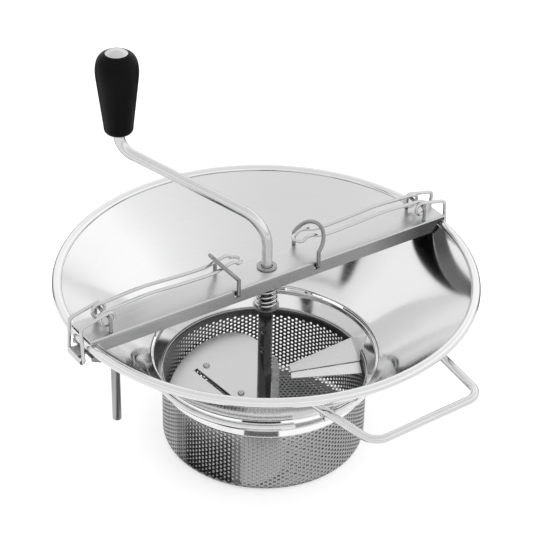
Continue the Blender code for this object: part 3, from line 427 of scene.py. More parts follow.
def newMaterial(name):
    material = setUp(bpy.data.materials.new(name), use_nodes=True)
    return material, material.node_tree, material.node_tree.nodes["Principled BSDF"]


def polished(tree, vector, grain, smears):
    # The two noises' outputs at a place.
    inputs = {"Vector": vector, "Grain": grain, "Smears": smears}
    return shaderNode(tree, "Group", inputs, node_tree=polishMarks).outputs


def markedSurface(tree, shader, marks, value, rough, bump, depth):
    # The roughness follows a value of the noise, and the marks are raised.
    raised = shaderNode(tree, "Bump", {"Strength": bump, "Distance": depth, "Height": marks["Marks"]})
    roughness = mapRange(tree, value, noiseSpan, rough)
    setInputs(tree, shader, {"Roughness": roughness, "Normal": raised.outputs[0]})


def steelMaterial(name, grey, rough, grain, stretch, smears, bump, tone, spun=None):
    # Bare steel: grey and roughness vary with the polishing marks and the smears over them.
    material, tree, shader = newMaterial(name)
    vector = objectPlace(tree)
    if spun is not None:
        spin = shaderNode(tree, "Group", {"Vector": vector, "Round": spun}, node_tree=spunCoordinates)
        vector = spin.outputs[0]
    vector = shaderNode(tree, "Mapping", {"Vector": vector, "Scale": stretch}).outputs[0]
    marks = polished(tree, vector, grain, smears)
    halves = [mathNode(tree, "MULTIPLY", marks[name], 0.5) for name in ("Marks", "Smear")]
    mixed = mathNode(tree, "ADD", *halves)
    markedSurface(tree, shader, marks, mixed, rough, bump, 0.0001)
    stops = list(zip(noiseSpan, (grey * (1 - tone), min(1.0, grey * (1 + tone)))))
    setInputs(tree, shader, {"Metallic": 1.0, "Base Color": greyRamp(tree, mixed, stops, faintBlue)})
    return material


even = (1.0, 1.0, 1.0)
finishes = {   # grey, roughness, grain, its stretch, smears, bump, tone and, if spun, the share of the angle
    "bowl": (0.86, (0.085, 0.135), 1500, even, 30, 0.02, 0.025, 0.004),
    "sieve": (0.46, (0.14, 0.26), 1400, even, 60, 0.03, 0.05),
    # painted shade: a darker, rougher copy of the sieve's steel for the inside of the cup
    "sieveInsidePaintedShade": (0.16, (0.24, 0.40), 1400, even, 60, 0.03, 0.10),
    "sieveFloor": (0.52, (0.30, 0.42), 1400, even, 60, 0.03, 0.06),
    "ring": (0.86, (0.07, 0.15), 1500, even, 60, 0.02, 0.04, 0.004),
    "wire": (0.76, (0.06, 0.15), 1100, even, 70, 0.03, 0.05),
    "clamp": (0.68, (0.06, 0.14), 1100, even, 70, 0.03, 0.05),
    "loop": (0.34, (0.06, 0.14), 1100, even, 70, 0.03, 0.05),
    "leg": (0.40, (0.30, 0.42), 1100, (1, 1, 0.1), 70, 0.03, 0.08),
    "bridge": (0.66, (0.24, 0.36), 1500, (0.03, 1, 1), 40, 0.10, 0.05),
    # the next two are painted shade: near black inside the bridge's channel, and a darker copy of the bridge's
    # steel on the flanges' outsides
    "bridgeInsidePaintedShade": (0.06, (0.35, 0.55), 1300, (0.1, 1, 1), 60, 0.05, 0.15),
    "flange": (0.42, (0.22, 0.34), 1500, (0.03, 1, 1), 40, 0.10, 0.05),
    "blade": (0.78, (0.26, 0.38), 1200, (1, 0.05, 0.4), 50, 0.08, 0.04),
    # near black: painted shade, where the leaf shows in the blade's slot
    "leaf": (0.05, (0.40, 0.60), 1300, even, 60, 0.05, 0.15),
    "rivet": (0.50, (0.18, 0.30), 1500, even, 120, 0.10, 0.08),
    "baffle": (0.78, (0.24, 0.36), 1200, (0.06, 1, 0.4), 50, 0.08, 0.04),
    # a paler copy of the baffle's steel: painted light on the apron's side of the fold
    "paleSheetPaintedLight": (0.90, (0.24, 0.36), 1200, (0.06, 1, 0.4), 50, 0.06, 0.04),
    "dark": (0.40, (0.22, 0.38), 1300, even, 80, 0.12, 0.08),
    # near black polished steel: a painted reflection of dark surroundings; on the rod inside the spring,
    # painted shade
    "sleeve": (0.17, (0.08, 0.14), 1300, (1, 1, 0.1), 60, 0.02, 0.10),
    "cap": (0.68, (0.10, 0.20), 1300, even, 90, 0.03, 0.05),
}
steel = {name: steelMaterial(name + "Steel", *finish) for name, finish in finishes.items()}

# Painted reflection: the flanges' colour darkens towards the right end, where they face the shaded side of the
# bowl
paintedReflectionFade = {"along": (0.080, 0.130), "share": (1.0, 0.22)}
tree = steel["flange"].node_tree
shader = tree.nodes["Principled BSDF"]
along = shaderNode(tree, "SeparateXYZ", {0: objectPlace(tree)}).outputs[0]
share = mapRange(tree, along, paintedReflectionFade["along"], paintedReflectionFade["share"])
plain = shader.inputs["Base Color"].links[0].from_socket
paintedDarkColour = shaderNode(tree, "VectorMath", {0: plain, "Scale": share}, operation="SCALE")
setInputs(tree, shader, {"Base Color": paintedDarkColour.outputs[0]})

# Black moulded plastic: a fine even bloom, slightly duller in patches
plastic = {"grey": 0.0025, "patches": (0.8, 1.4), "rough": (0.28, 0.40), "grain": 2600.0, "smears": 45.0,
           "bump": 0.08, "depth": 0.00005, "specular": 0.10}
gripPlastic, tree, shader = newMaterial("gripPlastic")
marks = polished(tree, objectPlace(tree), plastic["grain"], plastic["smears"])
markedSurface(tree, shader, marks, marks["Smear"], plastic["rough"], plastic["bump"], plastic["depth"])
patches = [(position, plastic["grey"] * share) for position, share in enumerate(plastic["patches"])]
setInputs(tree, shader, {"Specular IOR Level": plastic["specular"],
                         "Base Color": greyRamp(tree, marks["Smear"], patches)})
print("materials made")

# Bowl

bowl = {
    "steps": 360,
    "slit": 55.0,            # degrees left open where the rim's sheet curls back
    "neckBead": 0.0019,
    "neckBeadTop": 0.0691,
    "throatRound": 0.0030,
    "lugArc": 13.0,
    "twist": 20.0,
    "play": 2.0,
    "slotHeight": 0.0030,
    "entryLow": 0.0623,
    "cut": (0.082, 0.092),   # radii that the slots' cutters lie between
    "waves": 0.00016,        # how far the spun wall wanders
    "normal": (-0.73, 0.68),   # of the cone's wall
}


def bowlMiddle():
    # Middle line of the sheet: rim curl, cone, rounded throat, neck, small curl at the foot.
    curl = common["beadRadius"] - common["sheet"] / 2
    rim = arcPoints((common["rimRadius"], common["rimHeight"]), curl, -540 + bowl["slit"], -180, 34)
    throat = np.array([common["throatRadius"], common["throatHeight"]])
    foot = bowl["neckBead"] - common["sheet"] / 2
    centre = (common["throatRadius"] + foot, bowl["neckBeadTop"] - bowl["neckBead"])
    bead = arcPoints(centre, foot, 180, 450, 16)
    slant = roundedPath([rim[-1], throat, bead[0]], [bowl["throatRound"]], 8)
    cone = rim[-1] + (slant[1] - rim[-1]) * np.linspace(0, 1, 60)[1:-1, None]
    return np.vstack([rim, cone, slant[1:-1], bead])


def bowlWobble(radius, height, azimuth):
    # Moves each point along the cone's normal by a sum of slow waves round the bowl, none at rim and throat.
    share = np.clip((height - common["throatHeight"]) / coneRise, 0, 1)
    inside = (radius < common["coneTop"] + 0.0006) & (height > common["throatHeight"])
    fade = np.where(inside, np.sin(np.pi * share) ** 0.8, 0)
    swing = (np.sin(2 * azimuth + 0.6 + 2.5 * share) + 0.7 * np.sin(3 * azimuth - 1.1 - 3.0 * share)
             + 0.4 * np.sin(5 * azimuth + 2.0 + 5.0 * share) + 0.25 * np.sin(7 * azimuth + 9.0 * share))
    push = bowl["waves"] * fade * swing
    return radius + bowl["normal"][0] * push, height + bowl["normal"][1] * push


def wedgeMesh(inner, outer, low, high, azimuth, width):
    # An upright sector block: four corners carried round by a few even steps of the angle.
    steps = max(2, int(width / 3))
    angle = np.radians(azimuth + width * (np.arange(steps + 1) / steps - 0.5))
    corners = ((inner, low), (outer, low), (outer, high), (inner, high))
    rings = np.stack([around(radius, angle, height) for radius, height in corners], 1)
    last = 4 * steps
    ends = [[1, 2, 3, 0], [last, last + 3, last + 2, last + 1]]
    return merged(plainMesh("wedge", rings.reshape(-1, 3), gridFaces(steps + 1, 4).tolist() + ends))


outline = sheetOutline(bowlMiddle(), common["sheet"])
bowlShell = turnedPiece("bowlShell", outline, None, steel["bowl"], steps=bowl["steps"], wobble=bowlWobble,
                        merge=True)
slots = []
top, high, twist = bowl["neckBeadTop"], bowl["slotHeight"], bowl["twist"]
entry = bowl["lugArc"] + bowl["play"]
for k in range(3):
    lock = common["lugAzimuth"] + 120 * k
    slots.append(wedgeMesh(*bowl["cut"], top, top + high, lock - twist / 2, entry + twist))
    slots.append(wedgeMesh(*bowl["cut"], bowl["entryLow"], top + high / 2, lock - twist, entry))
cutWith(bowlShell, slots)
finishPiece(bowlShell, "bowl_body", steel["bowl"], "bowl")
print("bowl made:", len(bowlShell.data.polygons), "faces")

# Sieve: a perforated cup, wall and floor

sieve = {
    "radius": 0.077,
    "wall": 0.001,
    "height": 0.0576,
    "corner": 0.006,
    "margin": 0.0026,        # plain band under the top edge
    "columns": 156,          # upright lines of holes
    "holeShare": 0.66,       # hole diameter over the pitch
    "edge": 0.0003,
    "wallSides": 10,         # corners of a hole
    "floorSides": 8,
    "shift": (0.21, 0.13),   # of the floor's rows, in pitches
}
sieve["spacing"] = 2 * math.pi * sieve["radius"] / sieve["columns"]   # between two lines of holes
sieve["pitch"] = 2 * sieve["spacing"] / math.sqrt(3)                   # from hole to hole in a line


def basketProfile(distance, inset):
    # Distance down the wall to (radius, height): straight, then round the corner, then along the floor.
    corner, straight = sieve["corner"], sieve["height"] - sieve["corner"]
    angle = np.clip((distance - straight) / corner, 0, math.pi / 2)
    past = np.clip(distance - straight - corner * math.pi / 2, 0, None)
    radius = sieve["radius"] - corner + (corner - inset) * np.cos(angle) - past
    bent = corner - (corner - inset) * np.sin(angle)
    return radius, np.where(distance < straight, sieve["height"] - distance, bent)


def brickCell(sides):
    # Border of a brick, shared with its neighbours in staggered lines along y, then a ring of hole points.
    border = np.array([(-0.5, 0.5), (-0.5, 0.0), (-0.5, -0.5), (0.5, -0.5), (0.5, 0.0), (0.5, 0.5)])
    turn = 2 * np.pi * (np.arange(sides) + 0.5) / sides
    hole = sieve["pitch"] * sieve["holeShare"] / 2
    ring = np.stack([hole * np.cos(turn), -hole * np.sin(turn)], -1)
    return np.vstack([border * [sieve["spacing"], sieve["pitch"]], ring])


def ringTriangles(border, ring):
    # Joins two loops of points round one centre by their bearings into a band of triangles.
    outer, inner = (np.arctan2(loop[:, 1], loop[:, 0]) % (2 * np.pi) for loop in (border, ring))
    a = np.argsort(outer)
    b = np.argsort(inner) + len(border)
    outer, inner = np.sort(outer), np.sort(inner)
    triangles = []
    i = j = 0
    while i < len(a) or j < len(b):
        nextOuter = outer[i] if i < len(a) else 10
        nextInner = inner[j] if j < len(b) else 10
        if nextOuter <= nextInner:
            triangles.append((a[i - 1], a[i], b[j - 1]))
            i += 1
        else:
            triangles.append((a[i - 1], b[j], b[j - 1]))
            j += 1
    return np.array(triangles)


def perforatedFaces(count, sides, under, first):
    # Both skins of all the bricks and the walls of their holes; the second skin's points follow the first's.
    cell = brickCell(sides)
    pattern = ringTriangles(cell[:6], cell[6:])
    base = first + (np.arange(count) * len(cell))[:, None, None]
    skin = (pattern[None] + base).reshape(-1, 3)
    k = np.arange(sides)
    tube = np.stack([6 + k, 6 + (k + 1) % sides, 6 + (k + 1) % sides + under, 6 + k + under], -1)
    return [skin, skin[:, ::-1] + under, (tube[None] + base).reshape(-1, 4)]


def aroundWall(along, down, inset):
    # Distance round and distance down become a place on one skin of the cup.
    radius, height = basketProfile(down, inset)
    return around(radius, along / sieve["radius"], height).reshape(-1, 3)


def basketWall():
    # Lines of bricks from the plain band down round the corner, on both sides of the sheet, and that band.
    columns, pitch, spacing = sieve["columns"], sieve["pitch"], sieve["spacing"]
    wall, edge = sieve["wall"], sieve["edge"]
    total = sieve["height"] - sieve["corner"] + sieve["corner"] * math.pi / 2
    rows = int((total - sieve["margin"]) / pitch - 0.5)
    top = total - (rows + 0.5) * pitch
    i, j = np.meshgrid(np.arange(rows), np.arange(columns), indexing="ij")
    centres = np.stack([j * spacing, top + (i + 0.5 + 0.5 * (j % 2)) * pitch], -1).reshape(-1, 1, 2)
    cells = centres + brickCell(sieve["wallSides"])[None]
    skins = [aroundWall(cells[..., 0], cells[..., 1], inset) for inset in (0.0, wall)]
    faces = perforatedFaces(len(cells), sieve["wallSides"], len(skins[0]), 0)
    # half bricks fill every other line at the top, and the rest at the bottom
    odd, even = (np.arange(start, columns, 2)[:, None] * spacing for start in (1, 0))
    half = np.array([(-0.5, 0.0), (-0.5, 0.5), (0.5, 0.5), (0.5, 0.0)]) * [spacing, pitch]
    count = len(skins[0]) * 2
    for inset in (0.0, wall):
        for line, level in ((odd, top), (even, total - pitch / 2)):
            skins.append(aroundWall(line + half[:, 0], level + half[:, 1] + 0 * line, inset))
            faces.append(count + np.arange(len(skins[-1])).reshape(-1, 4))
            count += len(skins[-1])
    azimuth = (np.arange(columns) + 0.5) * spacing / sieve["radius"]
    outline = np.array([(top, 0), (top / 2, 0), (edge, 0), (0, edge), (0, wall - edge), (edge, wall),
                        (top / 2, wall), (top, wall)])
    band = around(sieve["radius"] - outline[:, 1:], azimuth, sieve["height"] - outline[:, :1])
    faces.append(gridFaces(len(outline), columns, first=count))
    return np.vstack(skins + [band.reshape(-1, 3)]), faces


def basketFloor(first):
    # Straight staggered lines of bricks, and triangles from their stepped border to the wall's circle.
    spacing, pitch, radius = sieve["spacing"], sieve["pitch"], sieve["radius"] - sieve["corner"]
    span = int(radius / spacing) + 2
    i, j = np.meshgrid(np.arange(-span, span + 1), np.arange(-span, span + 1), indexing="ij")
    up = (i + 0.5 * (j % 2) + sieve["shift"][1]) * pitch
    centres = np.stack([(j + sieve["shift"][0]) * spacing, up], -1).reshape(-1, 1, 2)
    cells = centres + brickCell(sieve["floorSides"])[None]
    kept = np.linalg.norm(cells[:, :6], axis=2).max(1) < radius - 0.15 * pitch
    cells, centres = cells[kept], centres[kept, 0]
    spots, index = np.unique(np.round(cells[:, :6].reshape(-1, 2), 7), axis=0, return_inverse=True)
    index = index.reshape(-1, 6)
    edges = np.sort(np.stack([index, np.roll(index, -1, 1)], -1).reshape(-1, 2), 1)
    edges, times = np.unique(edges, axis=0, return_counts=True)
    used, edges = np.unique(edges[times == 1], return_inverse=True)
    azimuth = (np.arange(sieve["columns"]) + 0.5) * spacing / sieve["radius"]
    circle = around(radius, azimuth, 0)[:, :2]
    k = np.arange(len(circle))
    edges = np.vstack([edges.reshape(-1, 2), len(used) + np.stack([k, (k + 1) % len(circle)], -1)])
    corners = [Vector(spot) for spot in np.vstack([spots[used], circle]).tolist()]
    found = delaunay_2d_cdt(corners, edges.tolist(), [], 1, 1e-7)
    rim = np.array([tuple(spot) for spot in found[0]])
    found = np.array(found[2])
    # the bricks' own area is full already
    away = np.abs(rim[found].mean(1)[:, None] - centres[None])
    found = found[~((away[..., 0] < spacing / 2) & (away[..., 1] < pitch / 2)).any(1)]
    flat = np.vstack([cells.reshape(-1, 2), rim])
    points = np.vstack([np.column_stack([flat, np.full(len(flat), z)]) for z in (0.0, sieve["wall"])])
    faces = perforatedFaces(len(cells), sieve["floorSides"], len(flat), first)
    low = found + first + cells.shape[0] * cells.shape[1]
    return points, faces + [low, low + len(flat)]


wallPoints, wallFaces = basketWall()
floorPoints, floorFaces = basketFloor(len(wallPoints))
basket = meshPiece("sieveBasket", np.vstack([wallPoints, floorPoints]), wallFaces + floorFaces, "sieve",
                   steel["sieve"], "sieve_basket", True, sharp=50.0)
centre, normal = faceArrays(basket)
outwards = (centre[:, :2] * normal[:, :2]).sum(1) / sieve["radius"]
holeWall = np.abs(outwards) + np.abs(normal[:, 2]) < 0.75
# the inner wall and the holes' walls take the darker steel: painted shade inside the cup
inside = ((outwards < -0.5) | holeWall) & (centre[:, 2] < sieve["height"] - sieve["edge"])
upward = (normal[:, 2] > 0.5) & (centre[:, 2] < sieve["corner"])
paintFaces(basket, np.where(upward, 2, inside), steel["sieveInsidePaintedShade"], steel["sieveFloor"])
print("sieve basket made:", sum(len(face.vertices) - 2 for face in basket.data.polygons), "triangles")

ringBand = {"lipOuter": 0.0839, "wall": 0.001, "lipTop": 0.0709, "lipBottom": 0.0674, "flareBottom": 0.0579,
            "skirtBottom": 0.0516, "skirtInner": 0.0773, "bend": 0.0020,
            "lug": (0.0837, 0.0881, 0.0694, 0.0709)}   # inner and outer radius, low and high
half = ringBand["wall"] / 2
outer, inner = ringBand["lipOuter"] - half, ringBand["skirtInner"] + half
middle = roundedPath([(outer, ringBand["lipTop"] - half), (outer, ringBand["lipBottom"]),
                      (inner, ringBand["flareBottom"]), (inner, ringBand["skirtBottom"] + half)],
                     [ringBand["bend"]] * 2, 6)
# a point close to each end keeps the shading level there
middle = np.vstack([middle[0], 0.9 * middle[0] + 0.1 * middle[1], middle[1:-1],
                    0.1 * middle[-2] + 0.9 * middle[-1], middle[-1]])
outline = sheetOutline(middle, ringBand["wall"])
turnedPiece("sieveRing", outline, "sieve", steel["ring"], "sieve_ring", 288, merge=True)
for k in range(3):
    block = wedgeMesh(*ringBand["lug"], common["lugAzimuth"] + 120 * k, bowl["lugArc"])
    lug = added("bayonetLug%d" % (k + 1), block)
    modifier(lug, "BEVEL", width=0.0003, segments=2)
    applied(lug)
    finishPiece(lug, "sieve", steel["ring"], "sieve_ring")
print("sieve ring made")

# Flat pieces: the folded baffle, and merged copies of the CAD ones with broken edges

baffle = {"sheet": 0.0012, "tip": 0.0205, "wall": 0.0750, "crease": 0.0493, "tipRise": 0.0032,
          "wallRise": 0.0106, "apron": 0.0046, "crack": 0.0008,
          "back": (-8.0, -6.0), "fold": (-22.0, -19.0), "front": (-28.5, -26.4),   # azimuths at tip and wall
          "corner": (0.0820, -13.9, 0.0668), "over": (0.0774, -16.6, 0.0583)}   # radius, azimuth, height


def foldedSheet(name, points, faces, material):
    # A thin sheet through the given points.
    plate = added(name, plainMesh(name, points, faces))
    modifier(plate, "SOLIDIFY", thickness=baffle["sheet"], offset=0.0, use_even_offset=True)
    applied(plate)
    brokenEdges(plate, 0.00025, 15.0)
    finishPiece(plate, "sieve", material, "baffle_plate", sharp=None)


tip, wall, crease = baffle["tip"], baffle["wall"], baffle["crease"]
foldTip, foldWall = polar(tip, baffle["fold"][0], crease), polar(wall, baffle["fold"][1], crease)
backTip = polar(tip, baffle["back"][0], crease + baffle["tipRise"])
backWall = polar(wall, baffle["back"][1], crease + baffle["wallRise"])
plate = [backTip, foldTip, foldWall, polar(*baffle["over"]), polar(*baffle["corner"]), backWall]
foldedSheet("bafflePlate", plate, [(0, 1, 2, 5), (5, 2, 3), (5, 3, 4)], steel["baffle"])
crack = np.array([0, 0, baffle["crack"]])
front = [polar(*spot, crease - baffle["apron"]) for spot in zip((tip, wall), baffle["front"])]
# the apron below the fold takes the paler steel: painted light
foldedSheet("baffleApron", [foldTip - crack, *front, foldWall - crack], [(0, 1, 2, 3)], steel["paleSheetPaintedLight"])
roundedNode("blade_plate", steel["blade"])
# the stiffener is painted near black: painted shade in the blade's slot
roundedNode("blade_stiffener", steel["leaf"], 0.0002)
roundedNode("blade_gusset", steel["paleSheetPaintedLight"], 0.0003)

bridge = {"half": 0.0140, "sheet": 0.0015, "footHole": (0.0020, 0.0040, 0.0026)}   # a foot hole's half sizes


def boxMesh(middle, half):
    # An upright block: middle and half sizes.
    corners = np.array([(x, y, z) for x in (-1, 1) for y in (-1, 1) for z in (-1, 1)]) * half + middle
    faces = [(0, 1, 3, 2), (4, 6, 7, 5), (0, 4, 5, 1), (2, 3, 7, 6), (0, 2, 6, 4), (1, 5, 7, 3)]
    return merged(plainMesh("box", corners, faces))


footPlace = np.array([common["loopDistance"], bridge["half"], common["loopPivot"]])
footHoles = [boxMesh(footPlace * [x, y, 1], bridge["footHole"]) for x in (-1, 1) for y in (-1, 1)]
channel = roundedNode("bridge", steel["bridge"], 0.0003, "brushed_steel", footHoles)
centre, normal = faceArrays(channel)
off, depth = np.abs(centre[:, 1]), common["bridgeTop"] - centre[:, 2]
outwards = centre[:, 1] * normal[:, 1]
# painted shade: faces inside the channel take near black steel, and the flanges' outsides a darker copy of the
# bridge's steel
under = (depth > bridge["sheet"] * 0.7) & (off < bridge["half"] - bridge["sheet"] * 0.7)
under &= (normal[:, 2] < -0.5) | (outwards < 0)
flange = (outwards > 0.7 * off) & (depth > 0.5 * bridge["sheet"])
paintFaces(channel, np.where(under, 1, np.where(flange, 2, 0)), steel["bridgeInsidePaintedShade"], steel["flange"])
for side in ("left", "right"):
    roundedNode(side + "_rim_lug", steel["dark"], 0.0003)
print("flat pieces made")

# Shaft, crank and grip

rod = {"radius": 0.004, "foot": 0.0035, "elbow": 0.184, "wrist": 0.2185, "end": 0.2942, "throw": 0.1165,
       "azimuth": 124.0, "footBend": 0.026, "gripBend": 0.015}
throw = polar(rod["throw"], rod["azimuth"], 0)[:2]
corners = [(0, 0, rod["foot"]), (0, 0, rod["elbow"]), (*throw, rod["wrist"]), (*throw, rod["end"])]
crankPath = roundedPath(corners, [rod["footBend"], rod["gripBend"]], 20)
# a point inside the bush, below which the rod is painted dark: painted shade inside the spring
crankPath = np.vstack([crankPath[0], (0, 0, common["bridgeTop"] - 0.001), crankPath[1:]])
crankRod = wirePiece("crankRod", crankPath, rod["radius"], "crank", steel["wire"], "crank_rod", 32)
# the rod below the bridge takes the sleeve's near black steel: painted shade
paintFaces(crankRod, faceArrays(crankRod)[0][:, 2] < common["bridgeTop"] - 0.002, steel["sleeve"])

sleeve = {"inner": 0.0043, "outer": 0.0054, "low": 0.0024, "high": 0.1130, "crimps": (0.0932, 0.0758),
          "crimpAzimuth": -150.0, "crimpDepth": 0.0009, "crimpWidth": 0.0021, "rows": 220}


def crimpedSleeve(radius, height, azimuth):
    # Pulls the outer skin in by a bell curve of the distance from each crimp's centre.
    away = (azimuth - math.radians(sleeve["crimpAzimuth"]) + np.pi) % (2 * np.pi) - np.pi
    for level in sleeve["crimps"]:
        distance = np.hypot(away * sleeve["outer"], height - level)
        dent = sleeve["crimpDepth"] * np.exp(-(distance / sleeve["crimpWidth"]) ** 4)
        radius = np.where(radius > sleeve["outer"] - 0.0003, radius - dent, radius)
    return radius, height


skin = np.linspace((sleeve["outer"], sleeve["low"]), (sleeve["outer"], sleeve["high"]), sleeve["rows"])
profile = np.vstack([(sleeve["inner"], sleeve["low"]), skin, (sleeve["inner"], sleeve["high"])])
turnedPiece("shaftSleeve", profile, "crank", steel["sleeve"], "shaft_sleeve", 72, wobble=crimpedSleeve)
# profiles of radius and height
bush = [(0.0044, 0.1431), (0.0059, 0.1431), (0.0059, 0.1474), (0.0074, 0.1474), (0.0074, 0.1481),
        (0.0072, 0.1483), (0.0044, 0.1483)]
seat = [(0.0043, 0.1133), (0.0097, 0.1133), (0.0097, 0.1145), (0.0043, 0.1145)]
turnedPiece("shaftBush", bush, "bowl_body", steel["dark"], "shaft_bush", 64, slot="plain_steel")
turnedPiece("springSeat", seat, "shaft_seat", steel["dark"], "spring_seat", 64, slot="plain_steel")

spring = {"radius": 0.0076, "wire": 0.0009, "low": 0.1157, "high": 0.1444, "turns": 8.0, "closed": 1.0,
          "closedPitch": 2.08,     # of the end turns, in wire radii
          "fixedEnd": 0.1453, "stroke": 0.003}


def springPath():
    # A coil: the angle grows evenly and the height by a pace that is low in the closed turns at both ends.
    turns, closed, rise = spring["turns"], spring["closed"], spring["high"] - spring["low"]
    turn = np.linspace(0, turns, int(turns * 40) + 1)
    closedPitch = spring["closedPitch"] * spring["wire"]
    openPitch = (rise - 2 * closedPitch * closed) / (turns - 2 * closed)
    pace = np.where((turn < closed) | (turn > turns - closed), closedPitch, openPitch)
    climb = np.concatenate([[0], np.cumsum((pace[1:] + pace[:-1]) / 2 * np.diff(turn))])
    return around(spring["radius"], 2 * np.pi * turn, spring["low"] + climb * rise / climb[-1])


springCoil = wirePiece("pressureSpring", springPath(), spring["wire"], "bowl_body", steel["wire"],
                       "pressure_spring", 14)
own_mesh(springCoil)

grip = {"low": 0.2325, "length": 0.062, "radius": 0.0157, "bore": 0.0044,
        "heights": [0.0, 0.03, 0.10, 0.25, 0.40, 0.55, 0.66, 0.75, 0.83, 0.91, 0.965, 1.0],
        "shares": [0.60, 0.675, 0.705, 0.775, 0.845, 0.915, 0.965, 1.0, 0.99, 0.925, 0.80, 0.60]}
# a smooth curve through shares of the radius over shares of the length, turned round the rod's end
skin = smoothPath(np.column_stack([grip["shares"], grip["heights"]]) * [grip["radius"], grip["length"]])
skin[:, 1] = np.clip(skin[:, 1], 0, grip["length"])
profile = np.vstack([(grip["bore"], 0.0), skin, (grip["bore"], grip["length"])])
place = (*throw, grip["low"])
turnedPiece("grip", profile, "crank_grip", gripPlastic, "grip", 96, place, slot="grip_plastic", sharp=60.0)
# a dome: the sphere's radius follows from the cap's radius and height
cap = {"radius": 0.0082, "height": 0.0030, "low": 0.2948}
dome = (cap["radius"] ** 2 + cap["height"] ** 2) / (2 * cap["height"])
spread = math.degrees(math.asin(cap["radius"] / dome))
rise = arcPoints((0.0, cap["height"] - dome), dome, 90 - spread, 90, 16)
turnedPiece("gripCap", np.vstack([(0.0, 0.0), rise]), "crank_grip", steel["cap"], "grip_cap", 64,
            (*throw, cap["low"]), closed=False)
print("shaft and crank made")

# Handle and legs

handle = {"azimuth": -88.2, "reach": 0.1844, "half": 0.0455, "splay": 7.5, "corner": 0.012, "height": 0.128,
          "radius": 0.0029, "inset": 0.0002, "start": 0.0036}   # the start is off the wall's middle
inside = common["throatRadius"] + (handle["height"] - common["throatHeight"]) / coneRise * coneRun
reach, half, wide = handle["reach"], handle["half"], handle["half"]
for _ in range(6):           # the splayed side and its root on the wall settle together
    root = math.sqrt((inside - handle["inset"]) ** 2 - wide ** 2)
    wide = half + (reach - root) * math.tan(math.radians(handle["splay"]))
root = math.sqrt((inside + handle["start"]) ** 2 - wide ** 2)
flat = roundedPath([(root, wide), (reach, half), (reach, -half), (root, -wide)], [handle["corner"]] * 2, 16)
cosine, sine = polar(1, handle["azimuth"], 0)[:2]
path = np.column_stack([flat @ [cosine, -sine], flat @ [sine, cosine], np.full(len(flat), handle["height"])])
wirePiece("sideHandle", path, handle["radius"], "bowl_body", steel["wire"], "side_handle", 32, endRound=0)

leg = {"radius": 0.0034, "distance": 0.1124, "foot": 0.024, "round": 0.0005, "shoulder": 0.08, "top": 0.1,
       "under": 0.0012}      # its end lies this far under the cone's middle


def underCone(places):
    # Brings the top points to the cone, whose height grows straight with the radius.
    share = (np.hypot(places[:, 0], places[:, 1]) - common["throatRadius"]) / coneRun
    ends = places[:, 2] > (leg["shoulder"] + leg["top"]) / 2
    places[:, 2] = np.where(ends, common["throatHeight"] + share * coneRise - leg["under"], places[:, 2])
    return places


foot = arcPoints((leg["radius"] - leg["round"], leg["foot"] + leg["round"]), leg["round"], -90, 0, 6)
top = [(leg["radius"], leg["shoulder"]), (leg["radius"], leg["top"]), (0.0, leg["top"])]
profile = np.vstack([(0.0, leg["foot"]), foot, top])
for number in (1, 2):
    place = polar(leg["distance"], common["lugAzimuth"] + 120 * number, 0)
    turnedPiece("supportLeg%d" % number, profile, "bowl_body", steel["leg"], "support_leg_%d" % number, 40,
                place, False, move=underCone)
print("handle and legs made")

# Clamps and keeper loops

clamp = {"wire": 0.0013, "inner": 0.0049, "tip": 0.0235, "tipHeight": 0.0152, "coilRadius": 0.0052,
         "coilDistance": 0.1355, "coilHeight": 0.1559, "bail": 0.1572, "corner": 0.0090, "bailBend": 0.0045,
         "footGauge": 0.0105, "footBend": 0.0016, "rollerHeight": 0.1290,
         "bow": [(0.1180, 0.0153), (0.0990, 0.0161), (0.0750, 0.0147), (0.0530, 0.0140),
                 (0.0440, 0.0150), (0.0370, 0.0170), (0.0320, 0.0176), (0.0290, 0.0160)]}
loop = {"wire": 0.0015, "leg": 0.0137, "lean": 40.0, "footEnd": 0.0095, "footBend": 0.0018, "gauge": 0.0158}
staple = {"foot": 0.1441, "height": 0.1582, "gauge": 0.0107, "bend": 0.0026}
# profile of a roller: radius and distance along it
roller = [(0.0017, -0.0089), (0.0022, -0.0089), (0.0027, -0.0084), (0.0027, 0.0084), (0.0022, 0.0089),
          (0.0017, 0.0089)]


def clampPath():
    # Bail, one turn of coil and lever for one side of the clamp, then its mirror image.
    over, inner, low, x = common["bridgeTop"], clamp["inner"], clamp["rollerHeight"], clamp["bail"]
    coilX, coilZ, coilRadius = clamp["coilDistance"], clamp["coilHeight"], clamp["coilRadius"]
    outer = inner + 2 * clamp["wire"] + common["gap"]
    corners = [(x, common["gap"] / 2, low), (x, clamp["footGauge"], low), (x, outer, over + clamp["corner"]),
               (coilX, outer, coilZ + coilRadius)]
    bail = roundedPath(corners, [clamp["footBend"], clamp["bailBend"]], 8)[:-1]
    angle = np.pi / 2 + 2 * np.pi * np.arange(33) / 32
    coil = np.column_stack([coilX + coilRadius * np.cos(angle), np.linspace(outer, inner, 33),
                            coilZ + coilRadius * np.sin(angle)])
    bow = np.array([(x, inner, over + height) for x, height in clamp["bow"]])
    swing = np.pi * np.linspace(0.5, 1.5, 13)
    tip = around(inner, swing, over + clamp["tipHeight"]) + [clamp["tip"] + inner, 0, 0]
    lever = smoothPath(np.vstack([coil[-1:], bow, tip[:1]]), 6)
    half = np.vstack([bail, coil[:-1], lever[:-1]])
    return np.vstack([half, tip, (half * [1, -1, 1])[::-1]])


